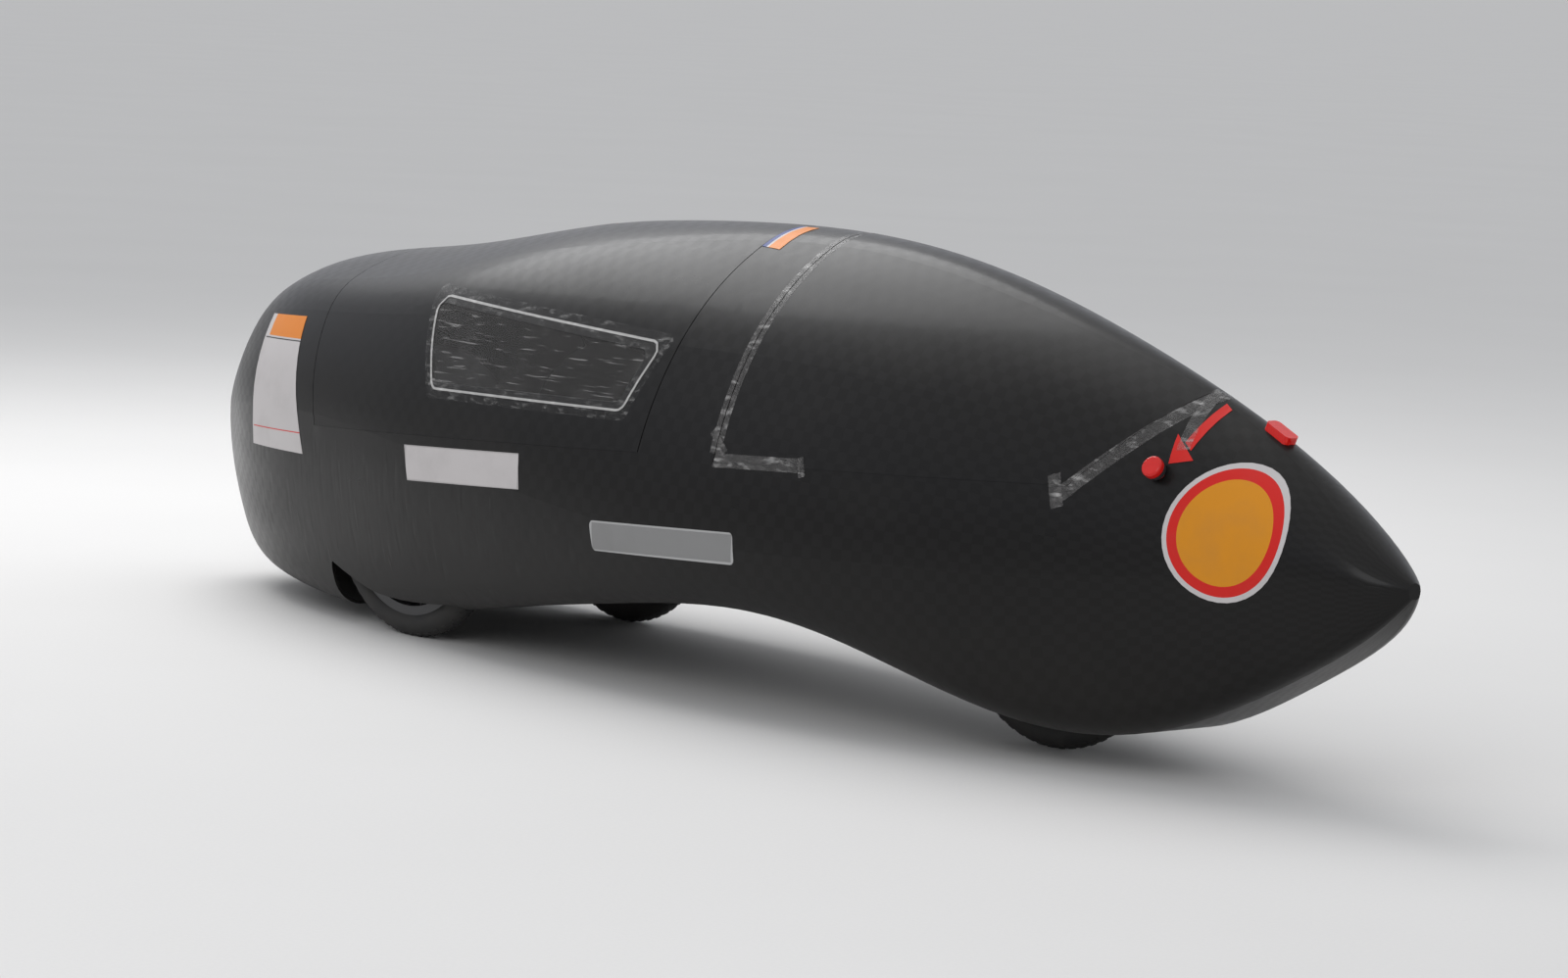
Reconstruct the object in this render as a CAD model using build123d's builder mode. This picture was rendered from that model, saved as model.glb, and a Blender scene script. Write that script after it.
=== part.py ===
from build123d import *
import math
import os

# Frame: X forward to the nose, Y to the left, Z up, origin on the ground under the middle of the car.
# All sizes are in millimetres.

# Body form
nose_x = 1472
tail_x = -1472
shell_wall = 6
panel_gap = 2
seat_gap = 0.3
lid_clearance = 14

# Sections of the body from nose to tail. Columns: x, half width, roof height, height of the widest
# line, belly height, shoulder radius, chine radius.
body_rows = [
    (nose_x, 22, 350, 328, 306, 19, 15),
    (1452, 93, 380, 318, 185, 66, 50),
    (1387, 142, 464, 328, 98, 100, 70),
    (1247, 218, 580, 350, 45, 130, 80),
    (1027, 293, 643, 368, 32, 145, 72),
    (687, 337, 687, 360, 38, 195, 66),
    (487, 349, 722, 340, 66, 265, 66),
    (287, 353, 748, 314, 100, 348, 66),
    (67, 348, 762, 290, 134, 420, 68),
    (-153, 334, 767, 272, 162, 470, 70),
    (-533, 288, 733, 281, 128, 430, 80),
    (-883, 206, 646, 301, 54, 322, 75),
    (-1153, 125, 551, 328, 120, 185, 55),
    (-1353, 79, 441, 346, 225, 98, 35),
    (tail_x, 12, 352, 340, 328, 10, 8),
]
# Tangent angles at which the roof, shoulder and side arcs meet, and the low side and chine arcs
shoulder_top = math.radians(60)
shoulder_foot = math.radians(30)
chine_top = math.radians(-20)
chine_foot = math.radians(-84)

# Seams of the lid and the engine cover, and the side windows, as side view corners (x, z)
over_roof = 900
lid_corners = [(853, 350), (970, over_roof), (-107, over_roof), (-73, 402)]
cover_corners = [(-247, 405), (-239, over_roof), (-1338, over_roof), (-919, 438)]
window_corners = [(567, 592), (491, 462), (1, 474), (-29, 560)]
window_corner_radius = 18
window_pane = 2
window_fit = 0.3
windscreen_x = 1290
windscreen_z = 550
windscreen_tilt = 52
windscreen_width = 210
windscreen_height = 110
windscreen_corner = 26
windscreen_reach = 70

# Wheels
wheel_radius = 240
tyre_width = 45
rim_radius = 203
rim_width = 34
rim_depth = 16
rim_wall = 2.5
bead_gap = 0.1
hub_radius = 18
flange_radius = 30
flange_width = 4
spokes_per_side = 10
spoke_radius = 1.6
axle_radius = 8
running_fit = 0.05
side_play = 0.5
nut_radius = 14
nut_width = 10
front_axle_x = 652
front_wheel_y = 235
front_hub_width = 52
rear_axle_x = -733
rear_hub_width = 90

# Slots in the belly for the wheels
slot_top = 150
slot_corner = 12
front_slot_length = 392
front_slot_width = 98
front_slot_y = 233
rear_slot_length = 412
rear_slot_width = 74
rear_slot_x = -706

# Front axle
beam_z = 150
beam_radius = 16
beam_wall = 2.5
beam_foot_y = 100
beam_foot_width = 40
beam_foot_length = 60
kingpin_y = 172
kingpin_radius = 6
kingpin_head_radius = 9
kingpin_head_height = 5
boss_radius = 14
boss_height = 95
boss_foot_z = 192.5
ear_thickness = 12
ear_width = 30
post_width = 12
post_y = 146
shoulder_radius = 13

# Steering
arm_length = 72
arm_end_radius = 10
arm_thickness = 8
arm_z = 196
tie_z = 178
tie_pin_radius = 4
tie_pin_play = 0.8
tie_pin_tail = 8
tie_eye_radius = 9
tie_eye_height = 12
tie_rod_radius = 5
column_base = (640, 168)
column_top = (430, 310)
column_radius = 13
column_start = 90
column_leg_start = 135
column_leg_spread = 80
column_leg_radius = 8
steer_shaft_radius = 8
drop_arm_offset = 12
drop_arm_thickness = 6
drop_arm_radius = 13
drive_pin_radius = 4
drive_pin_play = 0.5
drive_pin_length = 17
bar_hub_radius = 16
bar_hub_length = 30
bar_radius = 9
bar_half_span = 115
grip_radius = 14
grip_length = 65

# Wheel arches inside the cabin
arch_radius = 260
arch_wall = 3
arch_inner_y = 183
arch_foot_z = 276
arch_plate_z = 316
arch_step_z = 338

# Driver's place
firewall_x = -190
firewall_thickness = 8
hoop_x = -135
hoop_radius = 12.5
hoop_bend = 80
hoop_line = [(268, 100), (268, 340), (196, 600), (40, 716)]
seat_width = 320
seat_thickness = 8
seat_bend = 30
seat_line = [(484, 60), (470, 110), (270, 126), (95, 262), (-104, 500)]
head_rest_size = (50, 150, 90)
head_rest_z = 610
head_rest_corner = 16
belt_width = 45
belt_thickness = 2.5
belt_y = 80
lap_x = 150

# Rear end
dropout_y = 56
dropout_thickness = 8
dropout_boss = 26
dropout_foot_x = -535
dropout_foot_length = 130
dropout_foot_width = 40
dropout_foot_top = 165
engine_size = (140, 200, 190)
engine_x = -345
engine_foot_z = 190
engine_corner = 8
mount_wall = 12
mount_inset = 20
axle_sleeve_radius = 12
button_point = (-1056, 118, 470)
button_azimuth = 100
button_rise = 30
button_base = 11
button_cap = 17
button_cap_height = 10
button_height = 24
button_edge = 4
lamp_x = -1188
lamp_z = 537
lamp_slope = 24
lamp_length = 52
lamp_width = 26
lamp_height = 9
lamp_corner = 8

half_car = 2000


def polar(centre, radius, angle):
    """A point on a circle in the section plane."""
    return (centre[0] + radius * math.cos(angle), centre[1] + radius * math.sin(angle))


def next_centre(centre, radius, next_radius, angle):
    """The centre of an arc that carries on tangent from another at the given angle."""
    return polar(centre, radius - next_radius, angle)


def body_section(row, inset, x):
    """One closed section of tangent arcs with a flat belly, moved in by the inset."""
    half_width, roof, widest, belly, shoulder_radius, chine_radius = row[1:]
    across = half_width - shoulder_radius * (math.cos(shoulder_foot) - math.cos(shoulder_top))
    upward = roof - widest - shoulder_radius * (math.sin(shoulder_top) - math.sin(shoulder_foot))
    roof_across = math.cos(shoulder_top)
    roof_up = 1 - math.sin(shoulder_top)
    side_across = 1 - math.cos(shoulder_foot)
    side_up = math.sin(shoulder_foot)
    mix = roof_across * side_up - side_across * roof_up
    roof_radius = (across * side_up - upward * side_across) / mix
    side_radius = (upward * roof_across - across * roof_up) / mix
    chine_drop = chine_radius * (math.sin(chine_top) - math.sin(chine_foot))
    low_radius = (widest - belly - chine_drop) / -math.sin(chine_top)

    roof_centre = (0, roof - roof_radius)
    shoulder_centre = next_centre(roof_centre, roof_radius, shoulder_radius, shoulder_top)
    side_centre = (half_width - side_radius, widest)
    low_centre = (half_width - low_radius, widest)
    chine_centre = next_centre(low_centre, low_radius, chine_radius, chine_top)
    arcs = [
        (roof_centre, roof_radius, math.pi / 2, shoulder_top),
        (shoulder_centre, shoulder_radius, shoulder_top, shoulder_foot),
        (side_centre, side_radius, shoulder_foot, 0),
        (low_centre, low_radius, 0, chine_top),
        (chine_centre, chine_radius, chine_top, chine_foot),
    ]
    with BuildSketch(Plane(origin=(x, 0, 0), x_dir=(0, 1, 0), z_dir=(1, 0, 0))) as section:
        with BuildLine():
            for centre, radius, start, end in arcs:
                ThreePointArc(
                    polar(centre, radius - inset, start),
                    polar(centre, radius - inset, (start + end) / 2),
                    polar(centre, radius - inset, end),
                )
            belly_edge = polar(chine_centre, chine_radius - inset, chine_foot)
            Line(belly_edge, (0, belly_edge[1]))
            mirror(about=Plane.YZ)
        make_face()
    return section.sketch


def body_form(inset, rows):
    """The streamlined form through the given rows, moved in from the outer skin by the inset."""
    squeeze = (nose_x - inset) / nose_x
    sections = [body_section(row, inset, row[0] * squeeze) for row in rows]
    with BuildPart() as form:
        loft(sections=sections)
    return form.part


def side_plane(y):
    """The side view plane (x, z) at the given y. A negative extrusion goes to the left."""
    return Plane.XZ.offset(-y)


def panel_view(corners, grow):
    """A panel's outline in the side view, grown or shrunk all round."""
    with BuildSketch(Plane.XZ) as view:
        Polygon(*corners, align=None)
        offset(amount=grow, kind=Kind.INTERSECTION)
    return view.sketch


def window_view(grow):
    """A side window's outline in the side view, grown or shrunk all round."""
    with BuildSketch(Plane.XZ) as view:
        Polygon(*window_corners, align=None)
        fillet(view.vertices(), window_corner_radius)
        offset(amount=grow)
    return view.sketch


def mirrored(part):
    """The same piece on the right side of the car."""
    with BuildPart() as other:
        mirror(part, about=Plane.XZ)
    return other.part


def tube_along(points, radius, bend):
    """A round bar along straight runs with bends of one radius."""
    with BuildPart() as bar:
        with BuildLine() as route:
            if len(points) > 2:
                FilletPolyline(*points, radius=bend)
            else:
                Line(*points)
        with BuildSketch(route.line ^ 0):
            Circle(radius)
        sweep()
    return bar.part


# Body forms
outer = body_form(0, body_rows)
inner = body_form(shell_wall, body_rows)
cavity = body_form(shell_wall + seat_gap, body_rows)
lid_cavity = body_form(shell_wall + lid_clearance, body_rows[2:-2])
pane_core = body_form(window_pane, body_rows)
with BuildPart() as skin:
    add(outer)
    add(inner, mode=Mode.SUBTRACT)

tilt = math.radians(windscreen_tilt)
screen_dir = (math.cos(tilt), 0, math.sin(tilt))
screen_plane = Plane(origin=(windscreen_x, 0, windscreen_z), x_dir=(0, 1, 0), z_dir=screen_dir)

# Body tub: lower shell, nose, ring behind the driver and tail
with BuildPart() as body_tub:
    add(skin.part)
    extrude(panel_view(lid_corners, panel_gap / 2), amount=half_car, both=True, mode=Mode.SUBTRACT)
    extrude(panel_view(cover_corners, panel_gap / 2), amount=half_car, both=True, mode=Mode.SUBTRACT)
    with BuildSketch(Plane.XY):
        with Locations((front_axle_x, front_slot_y), (front_axle_x, -front_slot_y)):
            RectangleRounded(front_slot_length, front_slot_width, slot_corner)
        with Locations((rear_slot_x, 0)):
            RectangleRounded(rear_slot_length, rear_slot_width, slot_corner)
    extrude(amount=slot_top, mode=Mode.SUBTRACT)
    with BuildSketch(screen_plane):
        RectangleRounded(windscreen_width, windscreen_height, windscreen_corner)
    extrude(amount=windscreen_reach, both=True, mode=Mode.SUBTRACT)

# Lift-off lid over the driver, with a window in each side. Both panels rest on the seam's lower edge.
panel_seat = Pos(0, 0, seat_gap - panel_gap)
lid_view = panel_seat * panel_view(lid_corners, -panel_gap / 2)
cover_view = panel_seat * panel_view(cover_corners, -panel_gap / 2)
with BuildPart() as canopy_lid:
    add(skin.part)
    extrude(lid_view, amount=half_car, both=True, mode=Mode.INTERSECT)
    extrude(window_view(window_fit / 2), amount=half_car, both=True, mode=Mode.SUBTRACT)

# Lift-off cover over the engine
with BuildPart() as engine_cover:
    add(skin.part)
    extrude(cover_view, amount=half_car, both=True, mode=Mode.INTERSECT)

# Windows
with BuildPart() as window_left:
    extrude(window_view(-window_fit / 2), amount=-half_car)
    add(outer, mode=Mode.INTERSECT)
    add(pane_core, mode=Mode.SUBTRACT)
window_right = mirrored(window_left.part)

with BuildPart() as windscreen:
    with BuildSketch(screen_plane):
        RectangleRounded(
            windscreen_width - 2 * window_fit,
            windscreen_height - 2 * window_fit,
            windscreen_corner - window_fit,
        )
    extrude(amount=windscreen_reach, both=True)
    add(outer, mode=Mode.INTERSECT)
    add(pane_core, mode=Mode.SUBTRACT)


def wheel_rim(hub_width):
    """Hoop, spokes and hub of one wheel about the Y axis."""
    half_rim = rim_width / 2
    rim_floor = rim_radius - rim_depth
    with BuildPart() as rim:
        with BuildSketch(Plane.YZ):
            with Locations((0, rim_radius - rim_depth / 2)):
                Rectangle(rim_width, rim_depth)
            with Locations((0, rim_radius)):
                Rectangle(rim_width - 2 * rim_wall, 2 * (rim_depth - rim_wall), mode=Mode.SUBTRACT)
            with Locations((0, hub_radius / 2)):
                Rectangle(hub_width, hub_radius)
            with Locations(
                ((hub_width - flange_width) / 2, flange_radius / 2),
                ((flange_width - hub_width) / 2, flange_radius / 2),
            ):
                Rectangle(flange_width, flange_radius)
        revolve(axis=Axis.Y)
        for side in (1, -1):
            root = (0, side * (hub_width - flange_width) / 2, flange_radius - 2 * spoke_radius)
            tip = (0, side * half_rim / 3, rim_floor + rim_wall / 2)
            spoke = tube_along([root, tip], spoke_radius, 0)
            for step in range(spokes_per_side):
                add(Rot(0, (step + side / 4) * 360 / spokes_per_side, 0) * spoke)
        Cylinder(
            axle_radius + running_fit, hub_width + flange_width, rotation=(90, 0, 0), mode=Mode.SUBTRACT
        )
    return rim.part


def wheel_tyre():
    """One slick tyre about the Y axis, its bead in the rim's channel."""
    bead_width = rim_width - 2 * rim_wall - 2 * bead_gap
    bead_foot = rim_radius - rim_depth + rim_wall + bead_gap
    lip = rim_radius + bead_gap
    with BuildPart() as tyre:
        with BuildSketch(Plane.YZ):
            with Locations((0, wheel_radius - tyre_width / 2)):
                Circle(tyre_width / 2)
            with Locations((0, lip / 2)):
                Rectangle(tyre_width, lip, mode=Mode.SUBTRACT)
            with Locations((0, (bead_foot + lip) / 2 + 1)):
                Rectangle(bead_width, lip - bead_foot + 2)
        revolve(axis=Axis.Y)
    return tyre.part


# Wheels
front_place = Pos(front_axle_x, front_wheel_y, wheel_radius)
rear_place = Pos(rear_axle_x, 0, wheel_radius)
front_rim_left = front_place * wheel_rim(front_hub_width)
front_tyre_left = front_place * wheel_tyre()
rear_rim = rear_place * wheel_rim(rear_hub_width)
rear_tyre = rear_place * wheel_tyre()

# Front axle: tube, end yokes for the kingpins, and feet on the floor
boss_top_z = boss_foot_z + boss_height
yoke_foot_z = boss_foot_z - side_play - ear_thickness
yoke_top_z = boss_top_z + side_play + ear_thickness
with BuildPart() as front_axle_beam:
    with Locations((front_axle_x, 0, beam_z)):
        Cylinder(beam_radius, 2 * post_y, rotation=(90, 0, 0))
    with Locations((front_axle_x, beam_foot_y, beam_z / 2), (front_axle_x, -beam_foot_y, beam_z / 2)):
        Box(beam_foot_length, beam_foot_width, beam_z)
    with Locations((front_axle_x, 0, beam_z)):
        Cylinder(beam_radius - beam_wall, 2 * post_y, rotation=(90, 0, 0), mode=Mode.SUBTRACT)
    with BuildSketch(Plane.XY.offset(beam_z - beam_radius)):
        with Locations((front_axle_x, post_y), (front_axle_x, -post_y)):
            Rectangle(ear_width, post_width)
    extrude(amount=yoke_top_z - beam_z + beam_radius)
    for ear_z in (yoke_foot_z, yoke_top_z - ear_thickness):
        for side in (1, -1):
            with BuildSketch(Plane.XY.offset(ear_z)):
                with Locations((front_axle_x, side * kingpin_y)):
                    Circle(ear_width / 2)
                with Locations((front_axle_x, side * (kingpin_y + post_y) / 2)):
                    Rectangle(ear_width, kingpin_y - post_y)
            extrude(amount=ear_thickness)
    with BuildSketch(Plane.XY.offset(yoke_foot_z)):
        with Locations((front_axle_x, kingpin_y), (front_axle_x, -kingpin_y)):
            Circle(kingpin_radius + running_fit)
    extrude(amount=yoke_top_z - yoke_foot_z, mode=Mode.SUBTRACT)
    add(cavity, mode=Mode.INTERSECT)

with BuildPart() as kingpin_left:
    with BuildSketch(Plane.XY.offset(yoke_foot_z)):
        with Locations((front_axle_x, kingpin_y)):
            Circle(kingpin_radius)
    extrude(amount=yoke_top_z - yoke_foot_z)
    with BuildSketch(Plane.XY.offset(yoke_top_z)):
        with Locations((front_axle_x, kingpin_y)):
            Circle(kingpin_head_radius)
    extrude(amount=kingpin_head_height)
kingpin_right = mirrored(kingpin_left.part)

# Steering knuckles: boss on the kingpin, stub axle with its nut, and the steering arm
hub_inner_y = front_wheel_y - front_hub_width / 2 - side_play
hub_outer_y = front_wheel_y + front_hub_width / 2 + side_play
arm_end_x = front_axle_x - arm_length
with BuildPart() as knuckle_left:
    with BuildSketch(Plane.XY.offset(boss_foot_z)):
        with Locations((front_axle_x, kingpin_y)):
            Circle(boss_radius)
    extrude(amount=boss_height)
    with BuildSketch(Plane.XY.offset(arm_z)):
        with Locations((front_axle_x, kingpin_y)):
            Circle(boss_radius)
        with Locations((arm_end_x, kingpin_y)):
            Circle(arm_end_radius)
        make_hull()
    extrude(amount=arm_thickness)
    with BuildSketch(side_plane(kingpin_y)):
        with Locations((front_axle_x, wheel_radius)):
            Circle(shoulder_radius)
    extrude(amount=kingpin_y - hub_inner_y)
    with BuildSketch(side_plane(kingpin_y)):
        with Locations((front_axle_x, wheel_radius)):
            Circle(axle_radius)
    extrude(amount=kingpin_y - hub_outer_y)
    with BuildSketch(side_plane(hub_outer_y)):
        with Locations((front_axle_x, wheel_radius)):
            RegularPolygon(nut_radius, 6)
    extrude(amount=-nut_width)
    with BuildSketch(Plane.XY.offset(tie_z - tie_pin_tail)):
        with Locations((arm_end_x, kingpin_y)):
            Circle(tie_pin_radius)
    extrude(amount=arm_z - tie_z + tie_pin_tail)
    with BuildSketch(Plane.XY.offset(boss_foot_z)):
        with Locations((front_axle_x, kingpin_y)):
            Circle(kingpin_radius + running_fit)
    extrude(amount=boss_height, mode=Mode.SUBTRACT)
knuckle_right = mirrored(knuckle_left.part)

# Steering column geometry in the middle plane
column_run = math.hypot(column_top[0] - column_base[0], column_top[1] - column_base[1])
column_dir = Vector(column_top[0] - column_base[0], 0, column_top[1] - column_base[1]).normalized()
drop_dir = Vector(-column_dir.Z, 0, column_dir.X)
base_to_tie = Vector(arm_end_x - column_base[0], 0, tie_z - column_base[1])
tie_along = base_to_tie.dot(column_dir)
drop_arm_length = base_to_tie.dot(drop_dir)


def on_column(along, out=0):
    """A point along the column, measured up from its base, and out towards the tie rod."""
    return Vector(column_base[0], 0, column_base[1]) + column_dir * along + drop_dir * out


def column_plane(along, out=0):
    """A plane square to the column."""
    return Plane(origin=on_column(along, out), x_dir=(0, 1, 0), z_dir=column_dir)


drop_arm_place = tie_along - drop_arm_offset
column_end = column_run
with BuildPart() as steering_column:
    with BuildSketch(column_plane(column_start)):
        Circle(column_radius)
    extrude(amount=column_end - column_start)
    for side in (1, -1):
        leg_head = on_column(column_leg_start)
        leg_foot = (leg_head.X, side * column_leg_spread, 0)
        add(tube_along([leg_head, leg_foot], column_leg_radius, 0))
    with BuildSketch(column_plane(column_start)):
        Circle(steer_shaft_radius + running_fit)
    extrude(amount=column_end - column_start, mode=Mode.SUBTRACT)
    add(cavity, mode=Mode.INTERSECT)

# Handlebar with its shaft and the drop arm that moves the tie rod
shaft_foot = drop_arm_place - drop_arm_thickness / 2
bar_along = column_end + side_play + bar_hub_length / 2
slot_gap = drive_pin_radius + drive_pin_play
fork_depth = drop_arm_radius + 2 * slot_gap
with BuildPart() as handlebar:
    with BuildSketch(column_plane(shaft_foot)):
        Circle(steer_shaft_radius)
    extrude(amount=column_end - shaft_foot + side_play + bar_hub_length)
    with BuildSketch(column_plane(column_end + side_play)):
        Circle(bar_hub_radius)
    extrude(amount=bar_hub_length)
    with BuildSketch(column_plane(shaft_foot)):
        Circle(drop_arm_radius)
        with Locations((0, drop_arm_length)):
            Circle(drop_arm_radius)
        make_hull()
        with Locations((0, drop_arm_length - slot_gap + fork_depth / 2)):
            Rectangle(2 * slot_gap, fork_depth, mode=Mode.SUBTRACT)
    extrude(amount=drop_arm_thickness)
    with Locations(on_column(bar_along)):
        Cylinder(bar_radius, 2 * bar_half_span, rotation=(90, 0, 0))
    for side in (1, -1):
        with Locations(on_column(bar_along) + Vector(0, side * (bar_half_span - grip_length / 2), 0)):
            Cylinder(grip_radius, grip_length, rotation=(90, 0, 0))

# Tie rod with an eye on each arm's pin and the pin that the drop arm drives
with BuildPart() as tie_rod:
    with Locations((arm_end_x, 0, tie_z)):
        Cylinder(tie_rod_radius, 2 * kingpin_y, rotation=(90, 0, 0))
    with Locations((arm_end_x, kingpin_y, tie_z), (arm_end_x, -kingpin_y, tie_z)):
        Cylinder(tie_eye_radius, tie_eye_height)
    with BuildSketch(column_plane(tie_along - drive_pin_length, drop_arm_length)):
        Circle(drive_pin_radius)
    extrude(amount=drive_pin_length)
    with Locations((arm_end_x, kingpin_y, tie_z), (arm_end_x, -kingpin_y, tie_z)):
        Cylinder(tie_pin_radius + tie_pin_play, tie_eye_height, mode=Mode.SUBTRACT)

# Room for the wheel arches: against the tub below the seam, and clear of the lid above it
with BuildPart() as arch_room:
    add(cavity)
    with Locations((0, 0, arch_step_z + half_car)):
        Box(2 * half_car, 2 * half_car, 2 * half_car, mode=Mode.SUBTRACT)
with BuildPart() as arch_top_room:
    add(lid_cavity)
    with Locations((0, 0, arch_step_z - half_car)):
        Box(2 * half_car, 2 * half_car, 2 * half_car, mode=Mode.SUBTRACT)

# Wheel arches: a rolled guard over the wheel and a plate beside the driver
with BuildPart() as arch_form:
    with BuildSketch(side_plane(arch_inner_y)):
        with Locations((front_axle_x, wheel_radius)):
            Circle(arch_radius + arch_wall)
            Circle(arch_radius, mode=Mode.SUBTRACT)
        with Locations((front_axle_x, arch_foot_z - half_car / 2)):
            Rectangle(half_car, half_car, mode=Mode.SUBTRACT)
    extrude(amount=-half_car / 4)
    with BuildSketch(side_plane(arch_inner_y)):
        with Locations((front_axle_x, wheel_radius)):
            Circle(arch_radius + arch_wall)
        with Locations((front_axle_x, arch_plate_z - half_car / 2)):
            Rectangle(half_car, half_car, mode=Mode.SUBTRACT)
    extrude(amount=-arch_wall)
with BuildPart() as arch_low:
    add(arch_form.part)
    add(arch_room.part, mode=Mode.INTERSECT)
with BuildPart() as wheel_arch_left:
    add(arch_form.part)
    add(arch_top_room.part, mode=Mode.INTERSECT)
    add(arch_low.part)
wheel_arch_right = mirrored(wheel_arch_left.part)

# Firewall across the whole body and the roll hoop in front of it
with BuildPart() as firewall:
    with Locations((firewall_x, 0, half_car / 2)):
        Box(firewall_thickness, half_car, half_car)
    add(cavity, mode=Mode.INTERSECT)

hoop_points = [(hoop_x, y, z) for y, z in hoop_line]
hoop_points += [(hoop_x, -y, z) for y, z in reversed(hoop_line)]
with BuildPart() as roll_bar:
    add(tube_along(hoop_points, hoop_radius, hoop_bend))
    add(cavity, mode=Mode.INTERSECT)

# Seat: a bent sheet from the floor up to the firewall, with a head rest above it
firewall_face = firewall_x + firewall_thickness / 2
seat_head_z = seat_line[-1][1]
with BuildPart() as driver_seat:
    with BuildSketch(Plane.XZ):
        with BuildLine():
            FilletPolyline(*seat_line, (firewall_face, seat_head_z), radius=seat_bend)
        trace(line_width=seat_thickness)
        with Locations((firewall_face - half_car / 2, seat_head_z)):
            Rectangle(half_car, half_car, mode=Mode.SUBTRACT)
    extrude(amount=seat_width / 2, both=True)
    add(cavity, mode=Mode.INTERSECT)

head_depth, head_width, head_height = head_rest_size
with BuildPart() as head_rest:
    with Locations((firewall_face + head_depth / 2, 0, head_rest_z)):
        Box(head_depth, head_width, head_height)
    fillet(head_rest.faces().sort_by(Axis.X)[-1].edges(), head_rest_corner)

# Belts: two shoulder straps down the seat back and a strap across the lap
thigh_point, hip_point, neck_point = seat_line[-3:]
lap_share = (thigh_point[0] - lap_x) / (thigh_point[0] - hip_point[0])
lap_z = thigh_point[1] + lap_share * (hip_point[1] - thigh_point[1])
belt_edge = [(lap_x, lap_z), hip_point, neck_point, (firewall_face, seat_head_z)]
with BuildSketch(Plane.XZ) as belt_side:
    with BuildLine():
        FilletPolyline(*seat_line, (firewall_face, seat_head_z), radius=seat_bend)
    trace(line_width=seat_thickness + 2 * belt_thickness)
    Polygon(*belt_edge, (firewall_face, over_roof), (lap_x, over_roof), align=None, mode=Mode.INTERSECT)
with BuildPart() as seat_belts:
    for strap_y in (belt_y, -belt_y):
        extrude(Pos(0, strap_y, 0) * belt_side.sketch, amount=belt_width / 2, both=True)
    with BuildSketch(Plane.XZ):
        add(belt_side.sketch)
        with Locations((lap_x - belt_width / 2, lap_z)):
            Rectangle(belt_width, half_car, mode=Mode.INTERSECT)
    extrude(amount=seat_width / 2, both=True)
    add(driver_seat.part, mode=Mode.SUBTRACT)

# Rear axle, its dropouts and the engine on its mount
dropout_inner_y = dropout_y - dropout_thickness / 2
dropout_outer_y = dropout_y + dropout_thickness / 2
rear_hub_y = rear_hub_width / 2 + side_play
with BuildPart() as rear_dropout_left:
    with BuildSketch(side_plane(dropout_inner_y)):
        with Locations((rear_axle_x, wheel_radius)):
            Circle(dropout_boss)
        with Locations((dropout_foot_x, dropout_foot_top)):
            Rectangle(dropout_foot_length, dropout_thickness)
        make_hull()
    extrude(amount=-dropout_thickness)
    with Locations((dropout_foot_x, dropout_inner_y + dropout_foot_width / 2, dropout_foot_top / 2)):
        Box(dropout_foot_length, dropout_foot_width, dropout_foot_top)
    with Locations((rear_axle_x, dropout_y, wheel_radius)):
        Cylinder(axle_radius + running_fit, 2 * dropout_thickness, rotation=(90, 0, 0), mode=Mode.SUBTRACT)
    add(cavity, mode=Mode.INTERSECT)
rear_dropout_right = mirrored(rear_dropout_left.part)

with BuildPart() as rear_axle:
    with Locations((rear_axle_x, 0, wheel_radius)):
        Cylinder(axle_radius, 2 * dropout_outer_y, rotation=(90, 0, 0))
    for side in (1, -1):
        with Locations((rear_axle_x, side * (rear_hub_y + dropout_inner_y) / 2, wheel_radius)):
            Cylinder(axle_sleeve_radius, dropout_inner_y - rear_hub_y, rotation=(90, 0, 0))
        with BuildSketch(side_plane(side * dropout_outer_y)):
            with Locations((rear_axle_x, wheel_radius)):
                RegularPolygon(nut_radius, 6)
        extrude(amount=-side * nut_width)

with BuildPart() as engine_block:
    with Locations((engine_x, 0, engine_foot_z + engine_size[2] / 2)):
        Box(*engine_size)
    chamfer(engine_block.edges().filter_by(Axis.Z), engine_corner)

with BuildPart() as engine_mount:
    with Locations((engine_x, 0, engine_foot_z / 2)):
        Box(engine_size[0] - mount_inset, engine_size[1] - mount_inset, engine_foot_z)
        Box(
            engine_size[0] - mount_inset - 2 * mount_wall,
            engine_size[1] - mount_inset - 2 * mount_wall,
            engine_foot_z,
            mode=Mode.SUBTRACT,
        )
    add(cavity, mode=Mode.INTERSECT)

# Emergency stop button on the left and the lamp on the tail ridge
azimuth = math.radians(button_azimuth)
rise = math.radians(button_rise)
button_dir = (math.cos(rise) * math.cos(azimuth), math.cos(rise) * math.sin(azimuth), math.sin(rise))
button_plane = Plane(origin=button_point, z_dir=button_dir)
with BuildPart() as stop_button:
    with BuildSketch(button_plane):
        Circle(button_base)
    extrude(amount=button_height, both=True)
    with BuildSketch(button_plane.offset(button_height - button_cap_height)):
        Circle(button_cap)
    extrude(amount=button_cap_height)
    fillet(stop_button.faces().sort_by(SortBy.DISTANCE)[-1].edges(), button_edge)
    add(outer, mode=Mode.SUBTRACT)

slope = math.radians(lamp_slope)
along_ridge = (math.cos(slope), 0, math.sin(slope))
off_ridge = (-math.sin(slope), 0, math.cos(slope))
lamp_plane = Plane(origin=(lamp_x, 0, lamp_z), x_dir=along_ridge, z_dir=off_ridge)
with BuildPart() as tail_lamp:
    with BuildSketch(lamp_plane):
        RectangleRounded(lamp_length, lamp_width, lamp_corner)
    extrude(amount=lamp_height, both=True)
    add(outer, mode=Mode.SUBTRACT)

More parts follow.
